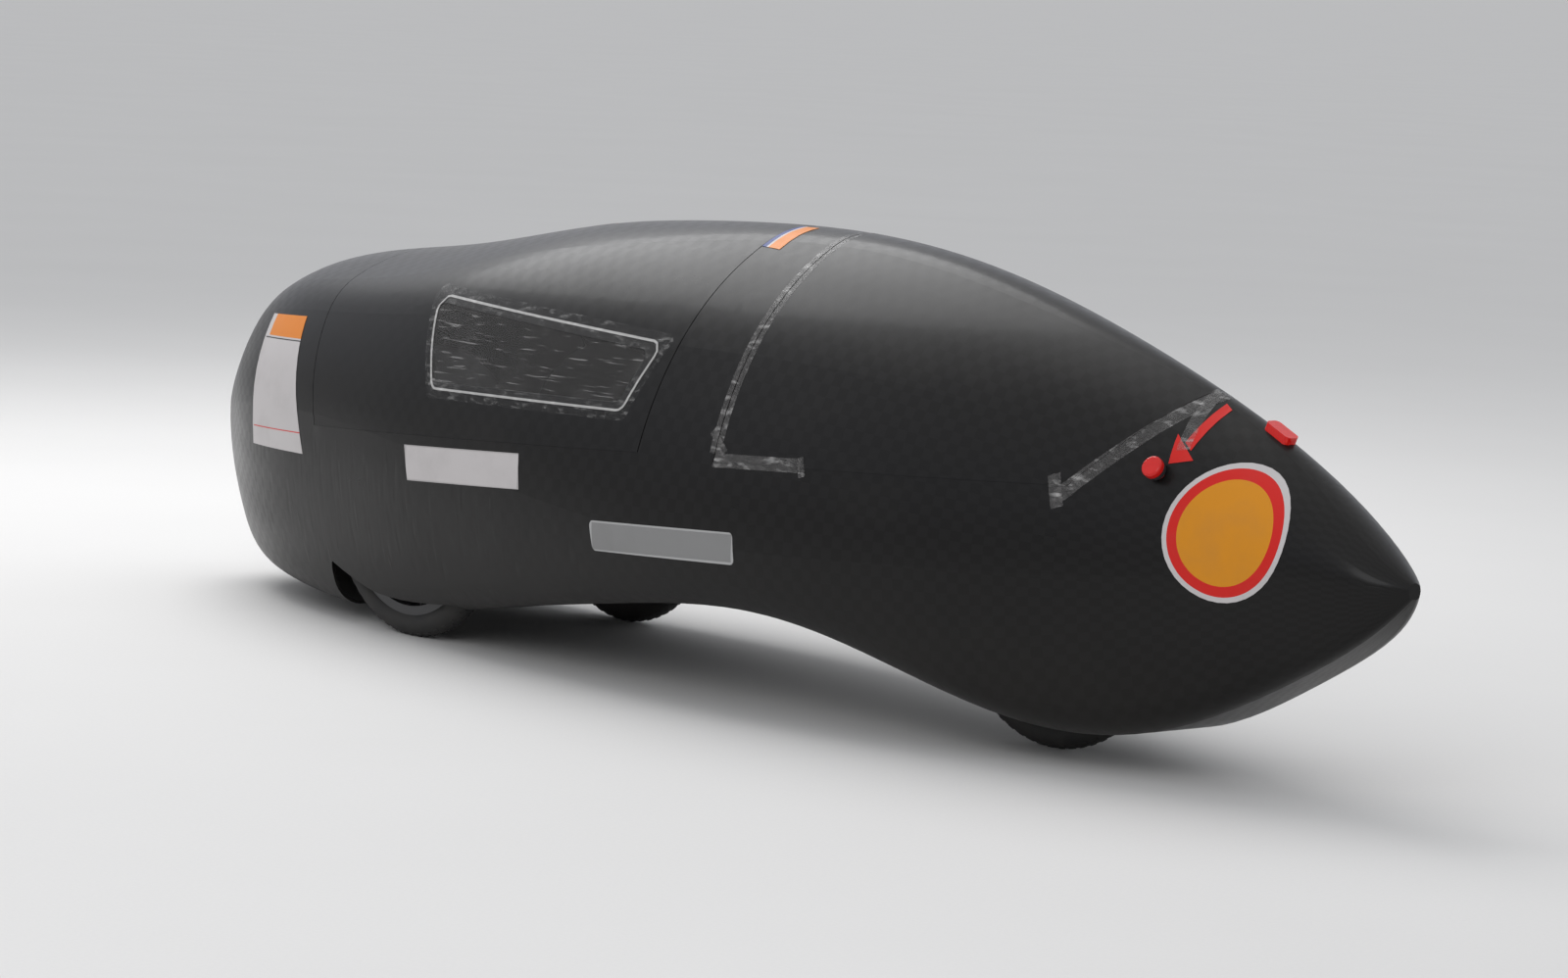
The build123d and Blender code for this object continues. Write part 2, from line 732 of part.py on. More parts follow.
pieces = {
    "body_tub": body_tub.part,
    "canopy_lid": canopy_lid.part,
    "engine_cover": engine_cover.part,
    "windscreen": windscreen.part,
    "window_left": window_left.part,
    "window_right": window_right,
    "stop_button": stop_button.part,
    "tail_lamp": tail_lamp.part,
    "firewall": firewall.part,
    "roll_bar": roll_bar.part,
    "driver_seat": driver_seat.part,
    "head_rest": head_rest.part,
    "seat_belts": seat_belts.part,
    "handlebar": handlebar.part,
    "steering_column": steering_column.part,
    "tie_rod": tie_rod.part,
    "front_axle_beam": front_axle_beam.part,
    "kingpin_left": kingpin_left.part,
    "kingpin_right": kingpin_right,
    "knuckle_left": knuckle_left.part,
    "knuckle_right": knuckle_right,
    "front_rim_left": front_rim_left,
    "front_rim_right": mirrored(front_rim_left),
    "front_tyre_left": front_tyre_left,
    "front_tyre_right": mirrored(front_tyre_left),
    "wheel_arch_left": wheel_arch_left.part,
    "wheel_arch_right": wheel_arch_right,
    "rear_rim": rear_rim,
    "rear_tyre": rear_tyre,
    "rear_axle": rear_axle.part,
    "rear_dropout_left": rear_dropout_left.part,
    "rear_dropout_right": rear_dropout_right,
    "engine_block": engine_block.part,
    "engine_mount": engine_mount.part,
}
os.makedirs("parts", exist_ok=True)
for label, piece in pieces.items():
    piece.label = label
    export_step(piece, f"parts/{label}.step")
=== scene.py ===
"""Dresses the three-wheeled economy car: paint, glazing, signs, tape, cabin trim, wheels and the stage."""
import math

import bmesh
import bpy
from mathutils import Matrix, Vector


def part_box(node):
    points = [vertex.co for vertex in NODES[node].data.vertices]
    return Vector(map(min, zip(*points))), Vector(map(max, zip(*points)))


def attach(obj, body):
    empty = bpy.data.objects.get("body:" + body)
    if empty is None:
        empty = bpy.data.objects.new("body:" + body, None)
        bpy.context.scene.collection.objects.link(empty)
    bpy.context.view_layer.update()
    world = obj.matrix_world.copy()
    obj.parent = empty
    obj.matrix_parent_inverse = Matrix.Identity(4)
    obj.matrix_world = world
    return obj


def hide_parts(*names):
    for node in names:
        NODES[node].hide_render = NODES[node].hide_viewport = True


bl_info = {
    "name": "Economy Car Dressing",
    "version": (1, 0, 0),
    "blender": (4, 5, 0),
    "location": "3D View > Sidebar > Economy Car",
    "description": "Adds the finishes, signs, tape, trim and stage around the packed car",
    "category": "Object",
}

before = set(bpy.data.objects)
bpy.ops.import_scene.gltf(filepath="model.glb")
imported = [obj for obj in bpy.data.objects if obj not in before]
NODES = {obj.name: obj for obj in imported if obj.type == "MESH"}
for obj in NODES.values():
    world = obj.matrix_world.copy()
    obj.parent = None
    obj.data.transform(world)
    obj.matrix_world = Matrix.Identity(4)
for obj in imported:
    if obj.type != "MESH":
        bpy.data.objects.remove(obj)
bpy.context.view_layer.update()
MM = 0.001


# Sizes and colours that a user may change

class ShellLook(bpy.types.PropertyGroup):
    """Finish of the woven shell and its film."""

    dark: bpy.props.FloatVectorProperty(
        name="Dark tow", description="Darker tow of the weave", subtype="COLOR", default=(0.0062, 0.0058, 0.0056)
    )
    light: bpy.props.FloatVectorProperty(
        name="Light tow", description="Lighter tow of the weave", subtype="COLOR", default=(0.0098, 0.0094, 0.0094)
    )
    dust: bpy.props.FloatVectorProperty(
        name="Road dust", description="Dust low on the shell", subtype="COLOR", default=(0.075, 0.068, 0.060)
    )
    tow: bpy.props.FloatProperty(
        name="Tow width", description="Side of one square of the weave", unit="LENGTH", default=0.020
    )
    film: bpy.props.FloatProperty(
        name="Film haze", description="How much the window film hides", subtype="FACTOR", default=0.004
    )


class SignLook(bpy.types.PropertyGroup):
    """Signs and stickers on the shell."""

    sheet: bpy.props.FloatProperty(
        name="Sheet", description="Thickness of a sticker", unit="LENGTH", default=0.0004
    )
    white: bpy.props.FloatVectorProperty(
        name="White", description="White vinyl", subtype="COLOR", default=(0.54, 0.515, 0.515)
    )
    grey: bpy.props.FloatVectorProperty(
        name="Grey", description="Grey vinyl", subtype="COLOR", default=(0.235, 0.235, 0.235)
    )
    orange: bpy.props.FloatVectorProperty(
        name="Orange", description="Orange print", subtype="COLOR", default=(0.72, 0.225, 0.025)
    )
    red: bpy.props.FloatVectorProperty(
        name="Red", description="Red vinyl", subtype="COLOR", default=(0.60, 0.014, 0.010)
    )
    amber: bpy.props.FloatVectorProperty(
        name="Amber", description="Amber field of the round sticker", subtype="COLOR", default=(0.64, 0.25, 0.010)
    )


class TapeLook(bpy.types.PropertyGroup):
    """Clear tape over the seams and round the windows."""

    haze: bpy.props.FloatProperty(
        name="Haze", description="How much the tape hides", subtype="FACTOR", default=0.08
    )
    edge: bpy.props.FloatProperty(
        name="Window bead", description="Width of the bright bead round a window", unit="LENGTH", default=0.0038
    )


class TrimLook(bpy.types.PropertyGroup):
    """Cabin trim, belts and small hardware."""

    belt_width: bpy.props.FloatProperty(
        name="Belt width", description="Width of the harness webbing", unit="LENGTH", default=0.045
    )
    belt_thickness: bpy.props.FloatProperty(
        name="Belt thickness", description="Thickness of the webbing", unit="LENGTH", default=0.0025
    )
    belt: bpy.props.FloatVectorProperty(
        name="Belt colour", description="Colour of the webbing", subtype="COLOR", default=(0.34, 0.018, 0.022)
    )
    bolt_radius: bpy.props.FloatProperty(
        name="Bolt head", description="Radius of a small bolt head", unit="LENGTH", default=0.0055
    )
    tread_height: bpy.props.FloatProperty(
        name="Tread", description="Height of the tread blocks", unit="LENGTH", default=0.0009
    )


# Shader expressions

def maths(operation, swapped=False):
    """A method that adds one Math node. A reflected operator swaps its two values."""
    def method(self, other=None):
        values = (self,) if other is None else (other, self) if swapped else (self, other)
        return self.tree.node("ShaderNodeMath", {"operation": operation}, dict(enumerate(values)))
    return method


class Wire:
    """A shader socket that takes part in Python expressions."""

    def __init__(self, tree, socket):
        self.tree = tree
        self.socket = socket

    __add__ = __radd__ = maths("ADD")
    __sub__ = maths("SUBTRACT")
    __rsub__ = maths("SUBTRACT", swapped=True)
    __mul__ = __rmul__ = maths("MULTIPLY")
    __truediv__ = maths("DIVIDE")
    __pow__ = maths("POWER")
    __gt__ = maths("GREATER_THAN")
    __lt__ = maths("LESS_THAN")
    __abs__ = maths("ABSOLUTE")
    sine = maths("SINE")
    root = maths("SQRT")
    angle_to = maths("ARCTAN2")
    larger = maths("MAXIMUM")

    def limited(self):
        """The value kept between 0 and 1."""
        return self.tree.node("ShaderNodeMath", {"operation": "ADD", "use_clamp": True}, {0: self, 1: 0.0})

    def twin(self, out):
        """Another output of the same node."""
        return Wire(self.tree, self.socket.node.outputs[out])


class Tree:
    """A node tree being built."""

    def __init__(self, tree):
        self.tree = tree

    def node(self, kind, settings, sockets, out=0):
        """A node of that type, its settings set first, then the values or links of its sockets."""
        made = self.tree.nodes.new(kind)
        for key, value in settings.items():
            if key == "stops":
                self.set_stops(made.color_ramp.elements, value)
            else:
                setattr(made, key, value)
        for key, value in sockets.items():
            self.feed(made.inputs[key], value)
        return Wire(self, made.outputs[out]) if made.outputs else None

    @staticmethod
    def set_stops(ramp, stops):
        """Gives a colour ramp its stops, lowest first."""
        while len(ramp) < len(stops):
            ramp.new(0.5)
        for stop, (place, colour) in zip(ramp, stops):
            stop.position = place
            stop.color = (*colour, 1)

    def feed(self, socket, value):
        """Links a wire to a socket, or sets the socket's value."""
        if isinstance(value, Wire):
            self.tree.links.new(value.socket, socket)
        elif hasattr(socket.default_value, "__len__") and len(socket.default_value) == 4:
            socket.default_value = (*tuple(value)[:3], 1.0)
        else:
            socket.default_value = value


class Finish(Tree):
    """One material being built round a Principled shader, with its Object coordinates at hand."""

    def __init__(self, name, **constants):
        self.material = bpy.data.materials.new(name)
        self.material.use_nodes = True
        super().__init__(self.material.node_tree)
        self.set(**constants)
        self.where = self.node("ShaderNodeTexCoord", {}, {}, out="Object")
        self.x = self.node("ShaderNodeSeparateXYZ", {}, {0: self.where})
        self.y, self.z = self.x.twin(1), self.x.twin(2)

    def set(self, **values):
        """Sets or links the shader's own sockets."""
        for socket, value in values.items():
            self.feed(self.tree.nodes["Principled BSDF"].inputs[socket.replace("_", " ")], value)
        return self.material

    def surface(self, colour, rough, height, strength, depth, **more):
        """Gives the shader what every finish has: colour, roughness and a bump."""
        bump = self.node("ShaderNodeBump", {}, {"Height": height, "Strength": strength, "Distance": depth})
        return self.set(Base_Color=colour, Roughness=rough, Normal=bump, **more)

    def noise(self, scale, detail, turn=(0, 0, 0)):
        """Cloudy noise. Three scales in place of one draw it out along the axes, after a turn."""
        where = self.where
        if isinstance(scale, tuple):
            where = self.node("ShaderNodeMapping", {}, {"Vector": where, "Scale": scale, "Rotation": turn})
            scale = 1.0
        sockets = {"Vector": where, "Scale": scale, "Detail": detail, "Roughness": 0.55}
        return self.node("ShaderNodeTexNoise", {}, sockets)

    def mix(self, factor, first, second):
        """One colour faded into another."""
        return self.node("ShaderNodeMix", {"data_type": "RGBA"}, {0: factor, 6: first, 7: second}, out=2)


def shade(colour, share, rest=0.0):
    """A colour made darker or lighter."""
    return tuple(part * share + rest for part in colour)


# Finishes

SHELL_MIDDLE = 0.33  # height of the shell's axis, which the weave and the skin patches turn round


def woven_shell(name):
    """Near-black spread-tow weave under satin resin, dusty low down."""
    look = bpy.context.scene.shell_look
    finish = Finish(name, Coat_Roughness=0.10, Coat_IOR=1.33, IOR=1.36, Specular_IOR_Level=0.28)
    girth = finish.y.angle_to(finish.z - SHELL_MIDDLE) * 0.31
    turns = math.pi / look.tow
    squares = (finish.x * turns).sine() * (girth * turns).sine()
    tow = (squares * 9 + 0.5).limited()
    cloud = finish.noise(2.6, 4.0)
    grain = finish.noise((60, 900, 900), 2.0)
    smear = finish.noise((3, 9, 9), 5.0, (0.2, 0.3, 0.1))
    low = (1 - finish.z / 0.34).limited()
    dust = (low * low * (cloud * 1.6 - 0.35).limited() * 0.34 + (smear - 0.56).limited() * 0.22).limited()
    colour = finish.mix((tow * 0.55 + cloud * 0.45).limited(), look.dark, look.light)
    colour = finish.mix(dust, colour, look.dust)
    rough = 0.22 + tow * 0.035 + smear * 0.18 + dust * 0.35
    height = grain * 0.25 + tow * 0.10 + cloud * 0.8
    return finish.surface(colour, rough, height, 0.09, 0.0012, Coat_Weight=0.12 - dust * 0.12)


def clear_film(name):
    """Thin clear sheet with long scratches and a little haze, more mirror-like at a flat angle."""
    look = bpy.context.scene.shell_look
    finish = Finish(name, IOR=1.45)
    scratch = finish.noise((14, 4, 260), 5.0, (0.0, 0.5, 0.0))
    cloud = finish.noise(11.0, 4.0)
    lines = ((scratch - 0.60) * 9).limited()
    facing = finish.node("ShaderNodeLayerWeight", {}, {"Blend": 0.5}, out="Facing")
    gloss = facing ** 5 + 0.05
    alpha = (look.film + lines * 0.35 + (cloud - 0.55).limited() * 0.25 + gloss).limited()
    return finish.surface((0.40, 0.39, 0.385), 0.06 + lines * 0.3, cloud, 0.10, 0.002, Alpha=alpha)


def clear_tape(name, haze, colour, highlight_and_spots=0.30):
    """Clear tape: its folds are bumped and painted lighter as highlights, with a few hazy spots."""
    finish = Finish(name, IOR=1.48)
    streak = finish.noise((40, 40, 120), 2.0, (0.0, 0.5, 0.0))
    spots = finish.noise(60.0, 2.0)
    # Painted highlight: along the streaks the tape turns pale grey and more opaque, as if the streaks caught the
    # light; the spots add real haze
    bright = ((streak - 0.53) * 4).limited()
    alpha = (haze + bright * highlight_and_spots + (spots - 0.52).limited() * highlight_and_spots * 1.2).limited()
    tint = finish.mix(bright, colour, (0.66, 0.65, 0.64))
    return finish.surface(tint, 0.18 + spots * 0.2, streak, 0.3, 0.0012, Alpha=alpha)


def worn_vinyl(finish, colour):
    """Printed vinyl with faint dirt and a soft ripple."""
    cloud = finish.noise(14.0, 5.0)
    fine = finish.noise(190.0, 2.0)
    dirt = (cloud - 0.48).limited() * 0.4 + (fine - 0.6).limited() * 0.2
    tint = finish.mix(dirt.limited(), colour, (0.13, 0.115, 0.105))
    return finish.surface(tint, 0.30 + cloud * 0.22, cloud, 0.22, 0.0012, Specular_IOR_Level=0.25)


def plain_vinyl(name, colour):
    """Vinyl of one colour."""
    return worn_vinyl(Finish(name), colour)


def number_vinyl(name):
    """White panel: orange header with a white margin, fine rules, the rest blank."""
    look = bpy.context.scene.sign_look
    finish = Finish(name)
    front, slope = 1.117, 0.04  # the print rises by this slope from this place to the back
    header_foot, header_front = 0.4845, 1.104
    rule_width, rule_front = 0.002, 1.119
    level = finish.z - (front - finish.x) * slope
    head = (level > header_foot) * (finish.x < header_front)
    colour = finish.mix(head, look.white, look.orange)
    for low, ink in ((0.4795, (0.03, 0.03, 0.03)), (0.3200, look.red)):
        rule = (level > low) * (level < low + rule_width) * (finish.x < rule_front)
        colour = finish.mix(rule, colour, ink)
    return worn_vinyl(finish, colour)


def bordered_vinyl(name, field, edge, middle, half, border):
    """A blank plate with a thin border line. The middle is x, z and the plate's slope in the side view."""
    finish = Finish(name)
    across = abs(finish.x - middle[0])
    upward = abs(finish.z - middle[1] - (finish.x - middle[0]) * middle[2])
    inner = (across < half[0] - border) * (upward < half[1] - border)
    return worn_vinyl(finish, finish.mix(inner, edge, field))


def round_vinyl(name):
    """A plain round sticker: white rim, red ring and an amber field."""
    look = bpy.context.scene.sign_look
    finish = Finish(name)
    along, upward = finish.x - ROUND_CENTRE[0], finish.z - ROUND_CENTRE[1]
    reach = (along * along + upward * upward).root()
    colour = finish.mix(reach > ROUND_RADII[2], look.amber, look.red)
    return worn_vinyl(finish, finish.mix(reach > ROUND_RADII[1], colour, look.white))


def striped_vinyl(name):
    """Roof strip: blue, white and orange bands across the car."""
    look = bpy.context.scene.sign_look
    finish = Finish(name)
    blue_end, white_end = -0.1075, -0.1125
    colour = finish.mix(finish.x < blue_end, (0.02, 0.045, 0.22), look.white)
    return worn_vinyl(finish, finish.mix(finish.x < white_end, colour, look.orange))


def edged_vinyl(name):
    """Red roof mark with one white edge."""
    look = bpy.context.scene.sign_look
    finish = Finish(name)
    red_end = 0.013
    return worn_vinyl(finish, finish.mix(finish.y > red_end, look.red, look.white))


def gloss_plastic(name, colour, rough, ripple):
    """Moulded plastic with a soft ripple and fine scuffs."""
    finish = Finish(name, Specular_IOR_Level=0.35)
    cloud = finish.noise(30.0, 3.0)
    fine = finish.noise(420.0, 2.0)
    tint = finish.mix((cloud - 0.4).limited(), colour, shade(colour, 0.72))
    return finish.surface(tint, rough + fine * 0.14, cloud + fine * 0.3, ripple, 0.001)


def lens_plastic(name):
    """Red ribbed lamp lens."""
    finish = Finish(name, IOR=1.49, Specular_IOR_Level=0.35)
    ribs, cells = ((along * 1400).sine() * 0.5 + 0.5 for along in (finish.x, finish.y))
    tint = finish.mix(ribs * cells * 0.6, (0.66, 0.005, 0.004), (0.90, 0.05, 0.025))
    return finish.surface(tint, 0.12 + ribs * 0.06, ribs * cells, 0.5, 0.001)


def fibre_panel(name):
    """Bare woven inner panels: fine twill, satin."""
    finish = Finish(name)
    x, y, z = finish.x, finish.y, finish.z
    twill = ((x + y + z) * 1250).sine() * ((x - y + z * 0.6) * 1250).sine()
    weave = (twill * 3 + 0.5).limited()
    cloud = finish.noise(7.0, 4.0)
    tint = finish.mix((weave * 0.6 + cloud * 0.4).limited(), (0.024, 0.024, 0.025), (0.044, 0.044, 0.046))
    return finish.surface(tint, 0.36 + cloud * 0.2, weave, 0.10, 0.0004)


def brushed_metal(name, colour, rough, scale):
    """Turned or brushed metal with fine lines and handling marks."""
    finish = Finish(name, Metallic=1.0)
    lines = finish.noise((scale, scale * 0.08, scale), 3.0)
    cloud = finish.noise(24.0, 4.0)
    tint = finish.mix((cloud - 0.35).limited(), colour, shade(colour, 0.62))
    return finish.surface(tint, rough + lines * 0.16 + cloud * 0.08, lines, 0.12, 0.0005)


def painted_metal(name, colour, rough):
    """Powder coat with orange peel and chips towards bare metal."""
    finish = Finish(name)
    peel = finish.noise(330.0, 2.0)
    cloud = finish.noise(18.0, 4.0)
    chip = ((finish.noise(60.0, 5.0) - 0.70) * 14).limited()
    tint = finish.mix((cloud - 0.3).limited(), colour, shade(colour, 0.6, 0.01))
    tint = finish.mix(chip, tint, (0.34, 0.33, 0.32))
    return finish.surface(tint, rough + peel * 0.1, peel, 0.12, 0.0006, Metallic=chip * 0.8)


def tyre_rubber(name):
    """Dull black rubber, dusty in patches."""
    finish = Finish(name)
    cloud = finish.noise(21.0, 4.0)
    fine = finish.noise(520.0, 2.0)
    dust = (cloud * 1.5 - 0.45).limited() * 0.5
    tint = finish.mix(dust, (0.014, 0.014, 0.014), (0.075, 0.068, 0.060))
    return finish.surface(tint, 0.62 + cloud * 0.25, fine + cloud, 0.25, 0.0005)


def woven_cloth(name, colour, count):
    """Knitted cover cloth over foam."""
    finish = Finish(name, Sheen_Weight=0.35, Sheen_Roughness=0.5)
    thread = ((finish.y * count).sine() * (finish.z * count).sine() * 0.5 + 0.5).limited()
    cloud = finish.noise(16.0, 3.0)
    tint = finish.mix((thread * 0.5 + cloud * 0.5).limited(), colour, shade(colour, 1.9, 0.004))
    return finish.surface(tint, 0.82 + cloud * 0.12, thread, 0.45, 0.0006)


def webbing_cloth(name):
    """Harness webbing with ribs along and across."""
    belt = bpy.context.scene.trim_look.belt
    finish = Finish(name, Sheen_Weight=0.25, Sheen_Roughness=0.45)
    ribs = ((finish.x * 0.64 - finish.z * 0.77) * 3300).sine() * 0.5 + 0.5
    cross = (finish.y * 2500).sine() * 0.5 + 0.5
    cloud = finish.noise(26.0, 3.0)
    tint = finish.mix((ribs * 0.5 + cross * 0.25 + cloud * 0.3).limited(), shade(belt, 0.45), belt)
    return finish.surface(tint, 0.62 + cloud * 0.2, ribs + cross * 0.5, 0.4, 0.0005)


def pale_floor(name):
    """Plain pale floor."""
    finish = Finish(name, Roughness=0.85)
    spread = (finish.noise(1.1, 5.0) * 0.5 + finish.noise(160.0, 2.0) * 0.5).limited()
    return finish.set(Base_Color=finish.mix(spread, (0.70, 0.69, 0.68), (0.78, 0.77, 0.76)))


ONE_OF_A_KIND = (
    woven_shell, clear_film, fibre_panel, tyre_rubber, lens_plastic, webbing_cloth, number_vinyl, round_vinyl,
    striped_vinyl, edged_vinyl, pale_floor,
)
# Each finish with its maker and what the maker takes after the name
MAKERS = {maker.__name__: (maker,) for maker in ONE_OF_A_KIND} | {
    "button_plastic": (gloss_plastic, (0.62, 0.014, 0.012), 0.12, 0.10),
    "dark_plastic": (gloss_plastic, (0.022, 0.022, 0.024), 0.38, 0.15),
    "grip_rubber": (gloss_plastic, (0.017, 0.017, 0.018), 0.58, 0.35),
    "aluminium": (brushed_metal, (0.62, 0.63, 0.65), 0.28, 240.0),
    "steel": (brushed_metal, (0.46, 0.46, 0.47), 0.24, 300.0),
    "engine_metal": (brushed_metal, (0.36, 0.36, 0.37), 0.42, 90.0),
    "hoop_paint": (painted_metal, (0.62, 0.61, 0.59), 0.34),
    "rim_paint": (painted_metal, (0.03, 0.03, 0.033), 0.30),
    "foam_cloth": (woven_cloth, (0.024, 0.024, 0.027), 2100.0),
}
FINISHES = {}


def finish_named(name):
    """A finish by its name, built once."""
    if name not in FINISHES:
        maker, *values = MAKERS[name]
        FINISHES[name] = maker(name, *values)
    return FINISHES[name]


# Modelling steps

MIRROR = Matrix.Scale(-1, 4, (0, 1, 0))
MERGE = 1e-6  # distance within which doubles and cuts are merged


def leave_all():
    """Object mode with nothing selected: the imported nodes arrive selected."""
    if bpy.context.mode != "OBJECT":
        bpy.ops.object.mode_set(mode="OBJECT")
    bpy.ops.object.select_all(action="DESELECT")


def take(obj):
    """Makes one object the selected and active one."""
    leave_all()
    obj.select_set(True)
    bpy.context.view_layer.objects.active = obj


def edit(obj):
    """Edit mode on one object with everything in it selected."""
    take(obj)
    bpy.ops.object.mode_set(mode="EDIT")
    bpy.ops.mesh.select_all(action="SELECT")


def pick(obj, kind, wanted):
    """Selects the faces or edges that pass a test."""
    bpy.ops.mesh.select_mode(type=kind)
    bpy.ops.mesh.select_all(action="DESELECT")
    mesh = bmesh.from_edit_mesh(obj.data)
    mesh.normal_update()
    for element in {"FACE": mesh.faces, "EDGE": mesh.edges}[kind]:
        if wanted(element):
            element.select_set(True)
    bmesh.update_edit_mesh(obj.data)


def pick_and_delete(obj, kind, wanted):
    """Deletes the faces or edges that pass a test."""
    pick(obj, kind, wanted)
    bpy.ops.mesh.delete(type=kind)


def modify(obj, kind, **settings):
    """Adds a modifier with its settings and applies it."""
    take(obj)
    modifier = obj.modifiers.new(kind.lower(), kind)
    for key, value in settings.items():
        setattr(modifier, key, value)
    bpy.ops.object.modifier_apply(modifier=modifier.name)


def soften(obj, width):
    """Bevels an object's sharp edges."""
    modify(obj, "BEVEL", width=width, segments=2, limit_method="ANGLE")


def thicken(patch, thickness):
    """Gives a patch its sheet thickness, outwards."""
    modify(patch, "SOLIDIFY", thickness=thickness, offset=1.0, use_even_offset=False)


def settle(obj, name, body, finish, smooth=35):
    """Bakes the place into the mesh, names the piece, gives it its finish and its body."""
    take(obj)
    bpy.ops.object.transform_apply(location=True, rotation=True, scale=True)
    bpy.ops.object.shade_smooth_by_angle(angle=math.radians(smooth))
    obj.name = name
    obj.data.name = name
    obj.data.materials.clear()
    obj.data.materials.append(finish if isinstance(finish, bpy.types.Material) else finish_named(finish))
    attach(obj, body)


def added(name, data):
    """A new object in the scene."""
    obj = bpy.data.objects.new(name, data)
    bpy.context.scene.collection.objects.link(obj)
    return obj


def copy_of(obj, place):
    """A copy with its own mesh, moved by a matrix; a mirroring matrix turns the faces back out."""
    other = added(obj.name, obj.data.copy())
    other.data.transform(place)
    if place.determinant() < 0:
        edit(other)
        bpy.ops.mesh.flip_normals()
        leave_all()
    return other


def repeated(pattern, places):
    """Copies of a pattern, one for each matrix. The pattern itself goes."""
    copies = [copy_of(pattern, place) for place in places]
    bpy.data.objects.remove(pattern)
    return copies


def moved(*place):
    """The matrix that moves by an amount along x, y and z."""
    return Matrix.Translation(place)


def joined(pieces):
    """Several objects as one."""
    leave_all()
    for piece in pieces:
        piece.select_set(True)
    bpy.context.view_layer.objects.active = pieces[0]
    if len(pieces) > 1:
        bpy.ops.object.join()
    return pieces[0]


def cube(size, place=(0, 0, 0)):
    """A cube brought to its size, as the start of a piece."""
    leave_all()
    bpy.ops.mesh.primitive_cube_add(size=1, location=place)
    block = bpy.context.object
    block.scale = size
    bpy.ops.object.transform_apply(location=True, rotation=True, scale=True)
    return block


def disc(radius, depth, place, direction=(0, 0, 1), sides=32, bevel=0.0):
    """A short round block whose axis points along a direction, its foot at the place."""
    leave_all()
    direction = Vector(direction).normalized()
    turn = direction.to_track_quat("Z", "Y").to_euler()
    bpy.ops.mesh.primitive_cylinder_add(
        vertices=sides, radius=radius, depth=depth, location=Vector(place) + direction * depth / 2, rotation=turn
    )
    block = bpy.context.object
    bpy.ops.object.transform_apply(location=True, rotation=True, scale=True)
    if bevel:
        soften(block, bevel)
    return block


def step_faces(obj, wanted, margin, move, narrowing=1):
    """Insets the faces that pass a test and moves and narrows what is left of them."""
    edit(obj)
    pick(obj, "FACE", wanted)
    bpy.ops.mesh.inset(thickness=margin)
    bpy.ops.mesh.extrude_region_move(TRANSFORM_OT_translate={"value": tuple(move)})
    if narrowing != 1:
        bpy.ops.transform.resize(value=(narrowing, narrowing, 1))
    leave_all()


# Outlines in the side or top view

def crossing(first, run, second, other_run):
    """Where two lines meet, each given as a point and a direction."""
    cross = run.x * other_run.y - run.y * other_run.x
    gap = second - first
    return first + run * ((gap.x * other_run.y - gap.y * other_run.x) / cross)


def arc(before, corner, after, radius, steps):
    """The points that round a corner between its two neighbours."""
    back, ahead = (before - corner).normalized(), (after - corner).normalized()
    half = math.acos(max(-1, min(1, back.dot(ahead)))) / 2
    reach = radius / math.tan(half)
    start, end = corner + back * reach, corner + ahead * reach
    centre = corner + (back + ahead).normalized() * (radius / math.sin(half))
    rays = [start.lerp(end, step / steps) - centre for step in range(steps + 1)]
    return [centre + ray.normalized() * radius for ray in rays]


def rounded(corners, radius):
    """A convex outline with its corners rounded."""
    ring = [Vector(corner) for corner in corners]
    trios = zip(ring[-1:] + ring, ring, ring[1:] + ring[:1])
    return [tuple(point) for trio in trios for point in arc(*trio, radius, 3)]


def edges_of(corners):
    """The edges of a convex outline: start, direction and normal outwards."""
    ring = [Vector(corner) for corner in corners]
    middle = sum(ring, Vector((0, 0))) / len(ring)
    edges = []
    for first, second in zip(ring, ring[1:] + ring[:1]):
        run = (second - first).normalized()
        out = Vector((run.y, -run.x))
        if out.dot(first - middle) < 0:
            out.negate()
        edges.append((first, run, out))
    return edges


def grown(corners, amount):
    """A convex outline moved out by an amount."""
    lines = [(first + out * amount, run) for first, run, out in edges_of(corners)]
    return [tuple(crossing(*before, *after)) for before, after in zip(lines[-1:] + lines, lines)]


def edge_planes(outline, view):
    """The planes through a convex outline's edges, normals outwards. The view is XZ or XY."""
    def spread(pair):
        return Vector((pair.x, 0, pair.y) if view == "XZ" else (pair.x, pair.y, 0))
    return [(spread(first), spread(out)) for first, _, out in edges_of(outline)]


def circle(radius, count, phase=0.0):
    """The points of a circle round the origin."""
    angles = [step * math.tau / count + phase for step in range(count)]
    return [(radius * math.cos(angle), radius * math.sin(angle)) for angle in angles]


def strip(start, end, width):
    """The outline of a straight strip between two points."""
    start, end = Vector(start), Vector(end)
    run = (end - start).normalized()
    out = Vector((-run.y, run.x)) * width / 2
    return [tuple(point) for point in (start + out, end + out, end - out, start - out)]


def metres(points):
    """Points in millimetres turned into metres."""
    return [(x * MM, z * MM) for x, z in points]


# Patches that lie on the shell

SKINS = {}
SKIN_NODES = {
    "car": ["body_tub"],
    "lid": ["canopy_lid", "window_left", "window_right"],
    "cover": ["engine_cover"],
}
SIDES = (("left", 1), ("right", -1))
LIFT = 0.0003  # gap between the shell and what lies on it
MIDDLE_GAP = 0.0005  # what a sticker of one side keeps from the middle of the car
LEAST_FACING = 0.3  # cosine under which a face counts as turned away


def outer_faces(nodes, outwards):
    """One merged object of the faces of some nodes that look the way that a function of the face gives."""
    skin = joined([added("skin", NODES[node].data.copy()) for node in nodes])
    edit(skin)
    bpy.ops.mesh.remove_doubles(threshold=MERGE)
    bpy.ops.mesh.customdata_custom_splitnormals_clear()
    pick_and_delete(skin, "FACE", lambda f: f.normal.dot(outwards(f)) < LEAST_FACING)
    leave_all()
    return skin


